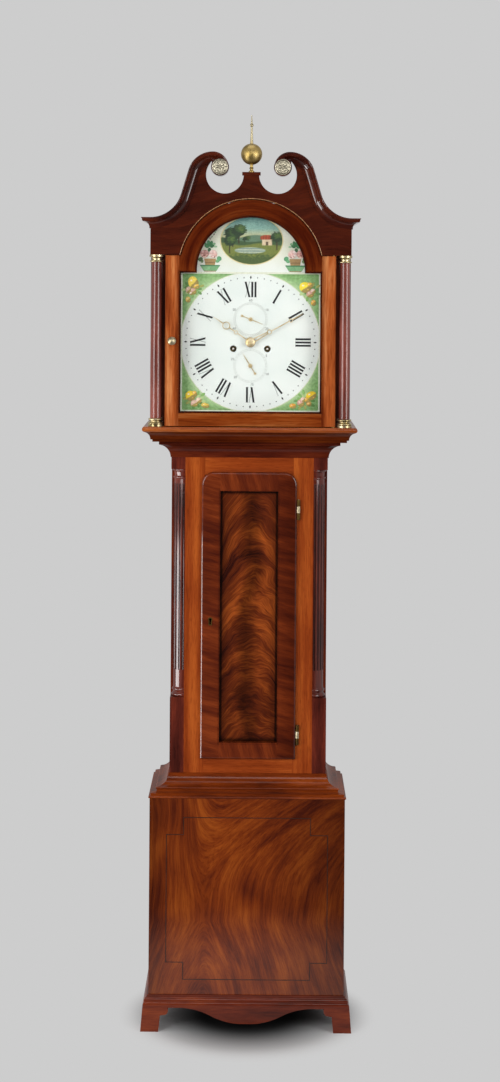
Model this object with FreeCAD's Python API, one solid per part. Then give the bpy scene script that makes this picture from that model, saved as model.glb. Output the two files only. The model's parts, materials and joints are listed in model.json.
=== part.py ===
import FreeCAD, Part
import math
import os

# A longcase clock with a swan-neck hood. Millimetres, +Z up, front towards -Y.
# Depths are measured forward from the wall plane behind the backboard.

# Heights of the case, from the floor up
foot_height = 63.0
skirting_height = 21.0
base_height = 470.0
waist_height = 51.0
trunk_height = 763.0
throat_height = 40.0
hood_base_height = 37.0
column_height = 411.0
frieze_height = 89.0
crown_rise = 157.0

# Widths, depths and overhangs of the case
base_width = 468.0
trunk_width = 378.0
hood_width = 481.0
trunk_depth = 190.5
skirting_projection = 13.0
waist_nose = 3.0
throat_projection = 29.0
hood_foot_projection = 44.0
hood_nose = 24.0
hood_frame_inner = 9.5
cornice_projection = 21.0
cornice_height = 26.0

# Boards
side_board = 16.0
front_board = 20.0
back_board = 14.0
floor_board = 12.0
hood_board = 12.0
roof_board = 10.0
pediment_board = 22.0

# Feet and apron
foot_width = 43.0
foot_flare = 5.0
foot_cusp = 38.0
foot_step = 14.0
apron_rise = 56.0
apron_drop = 20.0
foot_block = 24.0

# Quarter columns of the trunk
corner_square = 34.0
quarter_radius = 30.0
lower_block = 182.0
upper_block = 29.0
flute_radius = 2.6
flute_count = 5
flute_start = 65.0
flute_end = 35.0

# Trunk door
door_width = 230.0
door_sill = 35.0
door_head = 35.0
door_corner = 31.0
door_lip = 8.0
lip_thickness = 8.0
door_fit = 2.0
panel_stile = 45.0
panel_sill = 39.0
panel_head = 46.0
panel_board = 8.0
panel_rebate = 8.0
hinge_length = 48.0
hinge_inset = 35.0
knuckle_radius = 4.0
hinge_pin = 1.8
leaf_thickness = 1.6
lock_height = 62.0
lock_width = 36.0
lock_thickness = 12.0
keyhole_rise = 337.0

# Hood
column_inset = 14.5
column_radius = 13.5
brass_spread = 5.0
brass_base_height = 20.0
brass_capital_height = 18.0
arch_rise = 170.0
arch_radius = 173.0
door_gap = 1.5
hood_door_width = 408.0
hood_door_thickness = 22.0
hood_door_setback = 4.0
door_rail = 30.5
door_stile = 33.0
door_arch_rail = 38.0
door_step = 2.5
glass_thickness = 3.0
glass_rebate = 6.0
mask_board = 10.0
mask_reveal = 3.5
knob_radius = 10.0
pivot_radius = 2.0
pivot_reach = 6.0
pivot_inset = 5.0
strap_length = 22.0
strap_thickness = 1.6
roof_half = 162.0
roof_step = 56.0
hood_back_clearance = 2.0

# Pediment
foot_curve = 76.0
crown_curve = 60.0
curl_curve = 38.0
crown_place = 92.0
hollow_radius = 45.0
hollow_drop = 54.0
plinth_drop = 55.5
plinth_half = 18.5
plinth_cap_half = 22.0
plinth_cap_height = 8.0
rosette_radius = 19.5
rosette_place = 75.0
rosette_drop = 36.0
rosette_rim = 2.0
curl_cover = 16.0
ball_radius = 25.5
ball_stand = 18.0
finial_height = 137.0
spire_point = 19.0
spire_bead = 8.0

# Dial and hands
dial_rise = 202.0
dial_half = 178.0
dial_thickness = 2.0
dial_arch_radius = 141.0
dial_stand_off = 35.0
dial_mask_gap = 3.0
seconds_rise = 55.0
date_drop = 57.0
hour_hand_length = 107.0
minute_hand_length = 145.0
hour_hand_angle = 145.8
minute_hand_angle = 28.7
hand_thickness = 1.2
hand_stem = 1.2
hand_collet = 11.0
hour_hand_stand = 6.0
minute_hand_stand = 11.0
cannon_radius = 3.6
hour_pipe_radius = 5.4

# Movement: plates, arbors and wheels
plate_half = 68.0
plate_drop = 70.0
plate_rise = 94.0
plate_thickness = 3.0
plate_gap = 62.0
barrel_spread = 41.0
barrel_drop = 16.0
barrel_radius = 24.0
wheel_thickness = 2.5
pivot_size = 1.2
arbor_size = 2.2
running_clearance = 0.12
winding_arbor = 4.0
stud_radius = 1.0
seatboard_thickness = 20.0
seatboard_depth = 84.0
bell_radius = 52.0
bell_rise = 110.0

# Places of the arbors: across from the centre line and up from the centre arbor
anchor_rise = 86.0
third_across = 13.5
third_rise = 29.7
stud_across = 28.0
stud_rise = 19.5
pin_across = 48.0
pin_rise = 24.8
gathering_across = 30.0
gathering_rise = 45.0
warning_across = 44.0
warning_rise = 66.4
fly_across = 30.0
fly_rise = 82.0
hammer_across = 62.0
hammer_rise = 52.0

# How far the wheels stand in front of the back plate, and the motion work in front of the front plate
great_stand = 3.0
drum_stand = 6.0
drum_length = 36.0
warning_stand = 14.0
third_stand = 20.0
line_stand = 25.0
gathering_stand = 32.0
escape_stand = 46.0
pin_stand = 48.0
centre_stand = 56.0
cannon_stand = 4.0
hour_stand = 9.0

# Pendulum, weights and lines
pendulum_length = 994.0
pendulum_stand_off = 33.0
bob_radius = 54.0
bob_thickness = 30.0
rod_radius = 2.5
line_radius = 1.0
pulley_radius = 19.6
pulley_rim = 23.0
weight_radius = 30.0
weight_height = 230.0
weight_clearance = 21.0

# Levels worked out from the sizes above
z_base = foot_height + skirting_height
z_waist = z_base + base_height
z_trunk = z_waist + waist_height
z_throat = z_trunk + trunk_height
z_hood = z_throat + throat_height
z_deck = z_hood + hood_base_height
z_frieze = z_deck + column_height
z_cornice = z_frieze + frieze_height
z_crown = z_cornice + crown_rise
z_dial = z_deck + dial_rise
z_arch = z_dial + arch_rise
z_carcase = foot_height - 5.0
door_height = trunk_height - door_sill - door_head
panel_height = door_height - panel_sill - panel_head
panel_width = door_width - 2 * panel_stile
base_half = base_width / 2
trunk_half = trunk_width / 2
hood_half = hood_width / 2
base_depth = trunk_depth + base_half - trunk_half
hood_depth = trunk_depth + hood_half - trunk_half
wall = (hood_depth + cornice_projection) / 2

# Depths worked out from the sizes above, going back from the hood's front
door_front = hood_depth - hood_door_setback
door_back = door_front - hood_door_thickness
mask_front = door_back - 2.0
mask_back = mask_front - mask_board
dial_front = mask_back - dial_mask_gap
plate_front = dial_front - dial_thickness - dial_stand_off
front_inner = plate_front - plate_thickness
back_inner = front_inner - plate_gap
plate_back = back_inner - plate_thickness
pendulum_depth = plate_back - pendulum_stand_off
line_depth = back_inner + line_stand
z_seat = z_dial - plate_drop
z_cheek = z_seat - seatboard_thickness


def at(x, depth, z):
    """The point x to the right, depth in front of the wall plane and z above the floor."""
    return FreeCAD.Vector(x, wall - depth, z)


def closed_wire(points, place):
    """A closed wire through points (a, b) or (a, b, bulge). The bulge belongs to the stretch that
    ends at the point: its sagitta over half its chord, positive to the left of the way it runs."""
    edges = []
    for start, end in zip(points[-1:] + points[:-1], points):
        a, b = place(*start[:2]), place(*end[:2])
        bulge = end[2] if len(end) > 2 else 0.0
        if bulge:
            rise_a = (start[0] + end[0]) / 2 - bulge * (end[1] - start[1]) / 2
            rise_b = (start[1] + end[1]) / 2 + bulge * (end[0] - start[0]) / 2
            edges.append(Part.Arc(a, place(rise_a, rise_b), b).toShape())
        else:
            edges.append(Part.makeLine(a, b))
    return Part.Wire(edges)


def front_plate(points, depth_from, depth_to):
    """A flat piece whose outline (x, z) is seen from the front."""
    wire = closed_wire(points, lambda x, z: at(x, depth_from, z))
    return Part.Face(wire).extrude(at(0, depth_to, 0) - at(0, depth_from, 0))


def side_plate(points, x_from, x_to):
    """A flat piece whose outline (depth, z) is seen from the side."""
    wire = closed_wire(points, lambda depth, z: at(x_from, depth, z))
    return Part.Face(wire).extrude(FreeCAD.Vector(x_to - x_from, 0, 0))


def plan_plate(points, z_from, z_to):
    """A flat piece whose outline (x, depth) is seen from above."""
    wire = closed_wire(points, lambda x, depth: at(x, depth, z_from))
    return Part.Face(wire).extrude(FreeCAD.Vector(0, 0, z_to - z_from))


def block(x, depth, z):
    """A box given by its (low, high) pairs in x, depth and z."""
    size = [high - low for low, high in (x, depth, z)]
    return Part.makeBox(*size, at(x[0], depth[1], z[0]))


def upright(points, x, depth):
    """A piece turned about a vertical axis, from its half section (radius, z)."""
    wire = closed_wire(points, lambda radius, z: at(x + radius, depth, z))
    return Part.Face(wire).revolve(at(x, depth, 0), FreeCAD.Vector(0, 0, 1), 360)


def turned(points, x, z):
    """A piece turned about an axis from front to back, from its half section (radius, depth)."""
    wire = closed_wire(points, lambda radius, depth: at(x + radius, depth, z))
    return Part.Face(wire).revolve(at(x, 0, z), FreeCAD.Vector(0, 1, 0), 360)


def dome(radius, height):
    """The bulge of a turned cap of this radius and height whose centre lies on its axis."""
    sphere = (radius**2 + height**2) / (2 * height)
    return math.tan(math.asin(radius / sphere) / 4)


def rod(radius, x, z, depth_from, depth_to):
    """A plain cylinder from front to back."""
    return Part.makeCylinder(radius, depth_to - depth_from, at(x, depth_from, z), FreeCAD.Vector(0, -1, 0))


def post(radius, x, depth, z_from, z_to):
    """A plain upright cylinder."""
    return Part.makeCylinder(radius, z_to - z_from, at(x, depth, z_from))


def mirrored(shape):
    """The same piece on the other side of the centre line."""
    return shape.mirror(FreeCAD.Vector(0, 0, 0), FreeCAD.Vector(1, 0, 0))


def pair(shape):
    """A piece and its mirror image."""
    return [shape, mirrored(shape)]


def front_mitre(half, depth, reach):
    """The wedge that a front moulding keeps between its two mitres."""
    points = [(-half, depth), (half, depth), (half + reach, depth + reach), (-half - reach, depth + reach)]
    return plan_plate(points, 0, 2 * z_crown)


def mitred(section, half, depth):
    """Moulding round the front and both sides of a box, from its section (projection, z)."""
    reach = 2 * max(point[0] for point in section)
    wire = closed_wire(section, lambda p, z: at(-half - reach, depth + p, z))
    front = Part.Face(wire).extrude(FreeCAD.Vector(2 * (half + reach), 0, 0))
    wire = closed_wire(section, lambda p, z: at(half + p, 0, z))
    side = Part.Face(wire).extrude(FreeCAD.Vector(0, -depth - reach, 0))
    plan = [(half, 0), (half + reach, 0), (half + reach, depth + reach), (half, depth)]
    side = side.common(plan_plate(plan, 0, 2 * z_crown))
    return [front.common(front_mitre(half, depth, reach))] + pair(side)


def break_arch(half, z_low, z_shoulder, radius):
    """A square-shouldered outline with a round arch on the dial's arch centre."""
    spring = math.sqrt(radius**2 - (z_shoulder - z_arch) ** 2)
    bulge = (z_arch + radius - z_shoulder) / spring
    shoulders = [(spring, z_shoulder), (-spring, z_shoulder, -bulge)]
    return [(-half, z_low), (half, z_low), (half, z_shoulder)] + shoulders + [(-half, z_shoulder)]


# Base, skirting and feet
def skirting():
    face = skirting_projection
    section = [
        (0, 0),
        (face + foot_flare, 0),
        (face, foot_height),
        (face - 1.5, foot_height + 2),
        (face - 3, foot_height + 9, 0.25),
        (face - 10, foot_height + 17, -0.3),
        (face - 10, z_base),
        (0, z_base),
    ]
    pieces = mitred(section, base_half, base_depth)
    outer = base_half + face + foot_flare
    inner = outer - foot_width
    spring = inner - foot_step - 8
    half_void = [
        (-inner, -1),
        (-inner + 4, foot_cusp),
        (-inner + 4 + foot_step, foot_cusp + 2),
        (-spring, apron_rise, -0.35),
        (-0.9 * spring, apron_rise),
        (-0.45 * spring, (apron_rise + apron_drop) / 2, 0.13),
        (0, apron_drop, -0.13),
        (0, -1),
    ]
    half_void = front_plate(half_void, base_depth - 1, base_depth + face + 2 * foot_flare)
    back_foot = foot_width
    front_foot = base_depth + face + foot_flare - foot_width
    side_void = [
        (back_foot, -1),
        (back_foot, foot_cusp),
        (back_foot + foot_step, foot_cusp + 2),
        (back_foot + foot_step + 8, apron_rise, -0.35),
        (front_foot - foot_step - 8, apron_rise),
        (front_foot - foot_step, foot_cusp + 2, -0.35),
        (front_foot, foot_cusp),
        (front_foot, -1),
    ]
    side_void = side_plate(side_void, -outer - 1, outer + 1)
    voids = [pair(half_void), [side_void], [side_void]]
    return [piece.cut(cutters) for piece, cutters in zip(pieces, voids)]


def base_carcase():
    side = block((base_half - side_board, base_half), (0, base_depth - front_board), (z_carcase, z_waist))
    inside = base_half - side_board
    behind = (back_board, base_depth - front_board)
    floor = block((-inside, inside), behind, (z_carcase, z_carcase + floor_board))
    front_foot = block(
        (base_half - foot_block, base_half), (base_depth - foot_block, base_depth), (0, z_carcase)
    )
    back_foot = block((base_half - foot_block, base_half), (0, foot_block), (0, z_carcase))
    return pair(side) + [floor] + pair(front_foot) + pair(back_foot)


def base_front():
    return block((-base_half, base_half), (base_depth - front_board, base_depth), (z_carcase, z_waist))


def waist_moulding():
    over = base_half - trunk_half + waist_nose
    cove = 0.55 * waist_height
    section = [
        (0, z_waist),
        (over - 2, z_waist),
        (over - 2, z_waist + 5, -0.8),
        (over - 5, z_waist + 5.5),
        (over - 5, z_waist + 11),
        (over - 19, z_waist + 13),
        (over - 19, z_trunk - cove - 5),
        (over - 18, z_trunk - cove - 4.5),
        (over - 18, z_trunk - cove - 0.5, -0.5),
        (over - 21, z_trunk - cove),
        (1.5, z_trunk, 0.414),
        (0, z_trunk),
    ]
    return mitred(section, trunk_half, trunk_depth)


# Trunk
def trunk_sides():
    corner = trunk_depth - corner_square
    outline = [
        (0, z_waist),
        (back_board, z_waist),
        (back_board, z_waist - 40),
        (corner, z_waist - 40),
        (corner, z_hood),
        (plate_front, z_hood),
        (plate_front, z_cheek),
        (0, z_cheek),
    ]
    return pair(side_plate(outline, trunk_half - side_board, trunk_half))


def door_opening_half():
    return door_width / 2 - door_lip


def trunk_front_frame():
    half = trunk_half - corner_square
    opening = door_opening_half()
    depth = (trunk_depth - front_board, trunk_depth)
    sill = z_trunk + door_sill + door_lip
    head = z_trunk + door_sill + door_height - door_lip
    stile = block((opening, half), depth, (z_waist, z_hood)).cut(hinge_recess())
    left = block((-half, -opening), depth, (z_waist, z_hood))
    rails = [block((-opening, opening), depth, z) for z in ((z_waist, sill), (head, z_hood))]
    return [left, stile] + rails


def quarter_columns():
    """Fluted quarter columns in the trunk's front corners, between square blocks."""
    x = trunk_half - corner_square
    depth = trunk_depth - corner_square
    low, high = z_trunk + lower_block, z_throat - upper_block
    r = quarter_radius
    section = [
        (0, low),
        (r + 0.5, low),
        (r + 0.5, low + 8, -0.5),
        (r - 1, low + 11),
        (r, low + 14),
        (r, low + 20, -0.5),
        (r - 1.5, low + 23),
        (r - 1.5, high - 25),
        (r, high - 23),
        (r, high - 19, -0.5),
        (r - 2, high - 17),
        (r - 1, high - 8),
        (r + 1, high - 6),
        (r + 1, high, -0.5),
        (0, high),
    ]
    corner = block((x, x + corner_square), (depth, depth + corner_square), (low, high))
    column = upright(section, x, depth).common(corner)
    flutes = []
    for i in range(flute_count):
        angle = math.radians(90 * (i + 0.5) / flute_count)
        fx, fd = x + (r - 0.6) * math.cos(angle), depth + (r - 0.6) * math.sin(angle)
        flutes.append(post(flute_radius, fx, fd, low + flute_start, high - flute_end))
    column = column.cut(flutes)
    square = ((x, x + corner_square), (depth, depth + corner_square))
    blocks = [block(*square, (z_waist, low)), block(*square, (high, z_hood))]
    return pair(column) + pair(blocks[0]) + pair(blocks[1])


def throat_moulding():
    p = throat_projection
    section = [(0, z_throat), (2, z_throat), (p, z_hood - 8, 0.36), (p, z_hood), (0, z_hood)]
    return mitred(section, trunk_half, trunk_depth)


def backboard():
    """One tall board: wide in the base, trunk width above, and with ears behind the hood."""
    wide, narrow = base_half - side_board, trunk_half - side_board
    ears = hood_half - hood_board - hood_back_clearance
    top = z_cornice - roof_board - 2
    right = [
        (wide, z_carcase),
        (wide, z_waist),
        (narrow, z_waist),
        (narrow, z_seat),
        (ears, z_seat),
        (ears, top),
        (roof_half - roof_board - 2, top),
        (roof_half - roof_board - 2, top + roof_step),
    ]
    left = [(-x, z) for x, z in reversed(right)]
    return front_plate(right + left, 0, back_board)


def seatboard():
    back = plate_back - 10
    board = block((-trunk_half, trunk_half), (back, back + seatboard_depth), (z_cheek, z_seat))
    cuts = []
    for wound, fixed in line_places():
        slot = (line_depth - 12, line_depth + 12)
        cuts.append(block((wound - 4, wound + 4), slot, (z_cheek - 1, z_seat + 1)))
        cuts.append(post(2 * line_radius, fixed, line_depth, z_cheek - 1, z_seat + 1))
    return board.cut(cuts)


# Trunk door, with its hinges and lock
def hinge_axis():
    """Where the trunk door's pins stand: (x, depth)."""
    return door_width / 2 + knuckle_radius + 0.3, trunk_depth + 0.3 + knuckle_radius


def hinge_levels():
    low = z_trunk + door_sill + hinge_inset
    high = z_trunk + door_sill + door_height - hinge_inset - hinge_length - door_corner
    return low, high


def case_leaf_box(z):
    """The flat of a case leaf, let into the stile behind the door's lip."""
    x = hinge_axis()[0]
    return block((x - 10, x + 1), (trunk_depth - leaf_thickness, trunk_depth), (z, z + hinge_length))


def hinge_recess():
    return [case_leaf_box(z) for z in hinge_levels()]


def case_hinge_leaves():
    x, depth = hinge_axis()
    third = hinge_length / 3
    leaves = []
    for z in hinge_levels():
        leaf = case_leaf_box(z)
        for low in (z, z + 2 * third):
            knuckle = post(knuckle_radius, x, depth, low, low + third - 0.2)
            web = block((x - 1, x + 1), (trunk_depth - leaf_thickness, depth), (low, low + third - 0.2))
            leaf = leaf.fuse([knuckle, web])
        bore = post(hinge_pin + running_clearance, x, depth, z - 1, z + hinge_length + 1)
        leaves.append(leaf.cut(bore))
    return leaves


def door_leaf_box(z):
    """The flat of a door leaf, let into the edge of the lip."""
    x, depth = hinge_axis()
    third = hinge_length / 3
    flat = (depth - leaf_thickness / 2, depth + leaf_thickness / 2)
    return block((x - 16, x), flat, (z + third + 0.2, z + 2 * third - 0.2))


def door_hinge_leaves():
    x, depth = hinge_axis()
    third = hinge_length / 3
    leaves = []
    for z in hinge_levels():
        knuckle = post(knuckle_radius, x, depth, z + third + 0.2, z + 2 * third - 0.2)
        pin = post(hinge_pin, x, depth, z, z + hinge_length)
        leaves.append(door_leaf_box(z).fuse([knuckle, pin]))
    return leaves


def rounded_top(half, z_low, z_high, radius):
    """A plain outline with round upper corners."""
    return [
        (-half, z_low),
        (half, z_low),
        (half, z_high - radius),
        (half - radius, z_high, -0.414),
        (radius - half, z_high),
        (-half, z_high - radius, -0.414),
    ]


def panel_outline(margin):
    low = z_trunk + door_sill + panel_sill - margin
    high = low + panel_height + 2 * margin
    half = panel_width / 2 + margin
    return [(-half, low), (half, low), (half, high), (-half, high)]


def trunk_door_frame():
    """Frame with a rounded lip that laps over the trunk's front and a body that fills the opening."""
    low = z_trunk + door_sill
    lip_back = trunk_depth + 0.3
    lip_front = lip_back + lip_thickness
    lip = front_plate(rounded_top(door_width / 2, low, low + door_height, door_corner), lip_back, lip_front)
    face = wall - lip_front
    rim = [e for e in lip.Edges if all(abs(v.Point.y - face) < 0.01 for v in e.Vertexes)]
    lip = lip.makeFillet(0.6 * lip_thickness, rim)
    body_back = trunk_depth - front_board + 2
    inset = door_lip + door_fit
    body = [
        (-door_width / 2 + inset, low + inset),
        (door_width / 2 - inset, low + inset),
        (door_width / 2 - inset, low + door_height - inset),
        (-door_width / 2 + inset, low + door_height - inset),
    ]
    frame = lip.fuse(front_plate(body, body_back, lip_back))
    cuts = [
        front_plate(panel_outline(0), body_back - 1, lip_front + 1),
        front_plate(panel_outline(3), lip_front - 2.5, lip_front + 1),
        front_plate(panel_outline(panel_rebate), body_back - 1, body_back + panel_board),
        keyhole(body_back - 1, lip_front + 1, 0),
    ]
    return frame.cut(cuts + [door_leaf_box(z) for z in hinge_levels()])


def trunk_door_panel():
    back = trunk_depth - front_board + 2
    return front_plate(panel_outline(panel_rebate), back, back + panel_board)


def keyhole_place():
    return -(door_width + panel_width) / 4, z_trunk + door_sill + keyhole_rise


def keyhole(depth_from, depth_to, margin):
    """A keyhole: a round eye over a tapering slot."""
    x, z = keyhole_place()
    eye, slot = 3.2 + margin, 1.8 + margin
    skirt = [(x - slot, z - 12 - margin), (x + slot, z - 12 - margin), (x + slot, z), (x - slot, z)]
    return front_plate(skirt, depth_from, depth_to).fuse(rod(eye, x, z, depth_from, depth_to))


def trunk_lock():
    """Lock case behind the door's stile, with a channel for its bolt, and the keyhole's brass plate."""
    x, z = keyhole_place()
    back = trunk_depth - front_board + 2
    left = -door_opening_half() + 2.5 * door_fit
    z_mid = z - 4
    levels = (z_mid - lock_height / 2, z_mid + lock_height / 2)
    case = block((left, left + lock_width), (back - lock_thickness, back), levels)
    case = case.cut([bolt_channel(0.25), keyhole(back - 8, back + 1, 0)])
    front = trunk_depth + 0.3 + lip_thickness
    plate = keyhole(front, front + 0.8, 2.2).cut(keyhole(front - 1, front + 2, 0))
    return [case, plate]


def bolt_channel(clearance):
    back = trunk_depth - front_board + 2
    left = -door_opening_half() + 2.5 * door_fit
    z = keyhole_place()[1] + 8
    depth = (back - 9.5 - clearance, back - 4.5 + clearance)
    reach = 0.6 if clearance else 0.0
    return block((left - reach, left + 22 + clearance), depth, (z - 7 - clearance, z + 7 + clearance))


def lock_bolt():
    return bolt_channel(0)


# Hood
def hood_base_frame():
    """The moulded frame that the hood stands on. It slides on the throat moulding."""
    inner, foot = hood_frame_inner, hood_foot_projection
    nose = foot + hood_nose
    section = [
        (inner, z_hood),
        (foot, z_hood),
        (foot, z_hood + 5),
        (foot + 5, z_hood + 6),
        (nose - 9, z_deck - 14, 0.3),
        (nose - 4, z_deck - 12),
        (nose - 4, z_deck, -0.66),
        (inner, z_deck),
    ]
    pieces = mitred(section, trunk_half, trunk_depth)
    x, depth = hood_pivot()
    pivot = post(pivot_radius + running_clearance, x, depth, z_deck - pivot_reach - 2, z_deck + 1)
    return [pieces[0].cut(pivot)] + pieces[1:]


def hood_carcase():
    """Side boards, and a roof that steps up over the dial's arch."""
    inner = hood_half - hood_board
    behind = hood_depth - pediment_board
    edge = column_place()[1] - column_recess()
    outline = [(0, z_deck), (edge, z_deck), (edge, z_frieze)]
    outline += [(behind, z_frieze), (behind, z_cornice), (0, z_cornice)]
    sides = pair(side_plate(outline, inner, hood_half))
    low = z_cornice - roof_board
    shelf = block((roof_half, inner), (0, behind), (low, z_cornice))
    step = low + roof_step
    riser = block((roof_half - roof_board, roof_half), (0, behind), (low, step))
    top = block((-roof_half, roof_half), (0, behind), (step, step + roof_board))
    return sides + pair(shelf) + pair(riser) + [top]


def neck_edges(depth):
    """The top line of the left swan neck from the cornice's corner to its curl, as tangent arcs."""
    foot = (-hood_half, z_cornice + foot_curve)
    crown = (-crown_place, z_crown - crown_curve)
    curl = (-crown_place, z_crown - curl_curve)
    run, rise = crown[0] - foot[0], crown[1] - foot[1]
    slope = math.atan2(rise, run) + math.asin((foot_curve + crown_curve) / math.hypot(run, rise))

    def on(centre, radius, turn):
        return at(centre[0] + radius * math.sin(turn), depth, centre[1] - radius * math.cos(turn))

    def over(centre, radius, turn):
        return at(centre[0] - radius * math.sin(turn), depth, centre[1] + radius * math.cos(turn))

    rise_start, rise_end = on(foot, foot_curve, 0), on(foot, foot_curve, slope)
    flank_end, top = over(crown, crown_curve, slope), over(crown, crown_curve, 0)
    end = over(curl, curl_curve, -math.pi / 2)
    return [
        Part.Arc(rise_start, on(foot, foot_curve, slope / 2), rise_end).toShape(),
        Part.makeLine(rise_end, flank_end),
        Part.Arc(flank_end, over(crown, crown_curve, slope / 2), top).toShape(),
        Part.Arc(top, over(curl, curl_curve, -math.pi / 4), end).toShape(),
    ]


def hollow_centre():
    return -(plinth_half + hollow_radius), z_crown - hollow_drop


def rosette_centre():
    return -rosette_place, z_crown - rosette_drop


def hollowed(shape):
    """A left half of the pediment with its hollow cut out, but for the curl over the rosette."""
    x, z = rosette_centre()
    front = hood_depth + 2 * cornice_projection
    curl = rod(rosette_radius + curl_cover, x, z, 0, front)
    curl = curl.common(block((x - rosette_radius, 0), (0, front), (z + rosette_radius / 3, 2 * z)))
    return shape.cut(rod(hollow_radius, *hollow_centre(), 0, front).cut(curl))


def pediment():
    """The pediment board with its arch, scroll hollows and plinth for the finial."""
    back = hood_depth - pediment_board
    x, z = hollow_centre()
    z_cap = z_crown - plinth_drop
    necks = neck_edges(back)
    corners = [
        (x, z),
        (-plinth_half, z),
        (-plinth_half, z_cap),
        (0, z_cap),
        (0, z_frieze),
        (-hood_half, z_frieze),
        (-hood_half, z_cornice),
    ]
    corners = [necks[-1].Vertexes[-1].Point] + [at(cx, back, cz) for cx, cz in corners]
    lines = [Part.makeLine(a, b) for a, b in zip(corners, corners[1:])]
    half = Part.Face(Part.Wire(Part.__sortEdges__(necks + lines)))
    half = hollowed(half.extrude(at(0, hood_depth, 0) - at(0, back, 0)))
    half = half.fuse(rod(rosette_radius + rosette_rim, *rosette_centre(), back, hood_depth))
    board = half.fuse(mirrored(half)).removeSplitter()
    arch = rod(arch_radius, 0, z_arch, back - 1, hood_depth + 1)
    cap = block(
        (-plinth_cap_half, plinth_cap_half), (back - 3, hood_depth + 4), (z_cap, z_cap + plinth_cap_height)
    )
    pivot_x, pivot_depth = hood_pivot()
    bore = pivot_radius + running_clearance
    pivot = post(bore, pivot_x, pivot_depth, z_frieze - 1, z_frieze + pivot_reach + 2)
    return board.cut([arch, pivot]).fuse(cap)


def cornice_section():
    """The cornice's section as (depth below its top edge, projection)."""
    p, h = cornice_projection, cornice_height
    top = [(0, 0), (0, p), (2.5, p - 0.8, 0.5), (3.2, p - 1.6), (7.5, p - 1.6), (8, p - 3)]
    return top + [(9.5, p - 3), (h - 2, 2.5, -0.45), (h, 2.5), (h, 0)]


def swan_necks():
    """Mouldings that rise over the pediment, and their straight returns along the hood's sides."""
    face = hood_depth
    tip = -hood_half - cornice_projection
    start = at(tip, face, z_cornice)
    lead = Part.makeLine(start, at(-hood_half, face, z_cornice))
    path = Part.Wire([lead] + neck_edges(face))
    section = closed_wire(cornice_section(), lambda n, p: at(tip, face + p, z_cornice - n))
    shell = Part.BRepOffsetAPI.MakePipeShell(path)
    shell.setBiNormalMode(FreeCAD.Vector(0, 1, 0))
    shell.add(section, False, False)
    shell.build()
    shell.makeSolid()
    neck = hollowed(shell.shape())
    eye = turned(
        [
            (0, face),
            (rosette_radius + rosette_rim, face),
            (rosette_radius + rosette_rim, face + cornice_projection - 6),
            (rosette_radius, face + cornice_projection - 4, -0.4),
            (0, face + cornice_projection - 4),
        ],
        *rosette_centre(),
    )
    seat = face + cornice_projection - 4
    bed = rod(rosette_radius, *rosette_centre(), seat, seat + cornice_projection)
    neck = neck.fuse(eye).cut(bed).common(front_mitre(hood_half, hood_depth, 3 * cornice_projection))
    profile = closed_wire(cornice_section(), lambda n, p: at(-hood_half - p, 0, z_cornice - n))
    side = Part.Face(profile).extrude(FreeCAD.Vector(0, -face - 2 * cornice_projection, 0))
    reach = 2 * cornice_projection
    plan = [(-hood_half, 0), (-hood_half, face), (-hood_half - reach, face + reach), (-hood_half - reach, 0)]
    side = side.common(plan_plate(plan, 0, 2 * z_crown))
    return pair(neck) + pair(side)


def rosettes():
    """Stamped brass roundels with a domed boss and a raised rim."""
    front = hood_depth + cornice_projection - 4
    r = rosette_radius
    section = [
        (0, front),
        (r, front),
        (r, front + 1.5),
        (r - 3, front + 1.5, -0.5),
        (r - 4, front + 0.8),
        (0.45 * r, front + 1.2),
        (0, front + 3.6, -dome(0.45 * r, 2.4)),
    ]
    return pair(turned(section, *rosette_centre()))


def finial():
    """Brass ball and spire on a turned foot."""
    z = z_crown - plinth_drop + plinth_cap_height
    ball = z + ball_stand + ball_radius
    neck = 3.9
    half = math.sqrt(ball_radius**2 - neck**2)
    top = z + finial_height
    section = [
        (0, z),
        (7, z),
        (7, z + 2.5),
        (4, z + 5, 0.2),
        (3.6, z + 8),
        (5, z + 9),
        (5, z + 11, -0.5),
        (3.6, z + 12),
        (neck, ball - half),
        (neck, ball + half, -(ball_radius - neck) / half),
        (3.6, ball + half + 3),
        (2.0, top - spire_point - 1 - spire_bead),
        (2.0, top - spire_point - 1, -0.55),
        (1.9, top - spire_point),
        (0.8, top),
        (0, top),
    ]
    return upright(section, 0, hood_depth - pediment_board / 2)


def column_place():
    return hood_half - column_inset, hood_depth - column_inset


def column_recess():
    """How far the boards keep from a column's axis."""
    return column_radius + brass_spread + 0.4


def hood_columns():
    r = column_radius
    low, high = z_deck + brass_base_height, z_frieze - brass_capital_height
    third = low + (high - low) / 3
    section = [(0, low), (r, low), (r + 0.3, third), (0.88 * r, high), (0, high)]
    return pair(upright(section, *column_place()))


def column_brasses():
    """Brass bases and capitals at the ends of the hood's columns."""
    r = column_radius
    z = z_deck
    base = [
        (0, z),
        (r + brass_spread, z),
        (r + brass_spread, z + 5),
        (r + brass_spread - 2, z + 5),
        (r + brass_spread - 2, z + 10, -0.7),
        (r + 1, z + 11),
        (r + 0.5, z + 14, 0.4),
        (r + 2.5, z + 15),
        (r + 2.5, z + brass_base_height - 1, -0.8),
        (r, z + brass_base_height),
        (0, z + brass_base_height),
    ]
    z = z_frieze - brass_capital_height
    capital = [
        (0, z),
        (0.88 * r, z),
        (r + 1.5, z + 1),
        (r + 1.5, z + 4, -0.8),
        (0.9 * r, z + 5),
        (0.9 * r, z + 9),
        (r + 3.5, z + 13, 0.3),
        (r + 3.5, z + brass_capital_height),
        (0, z + brass_capital_height),
    ]
    return pair(upright(base, *column_place())) + pair(upright(capital, *column_place()))


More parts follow.
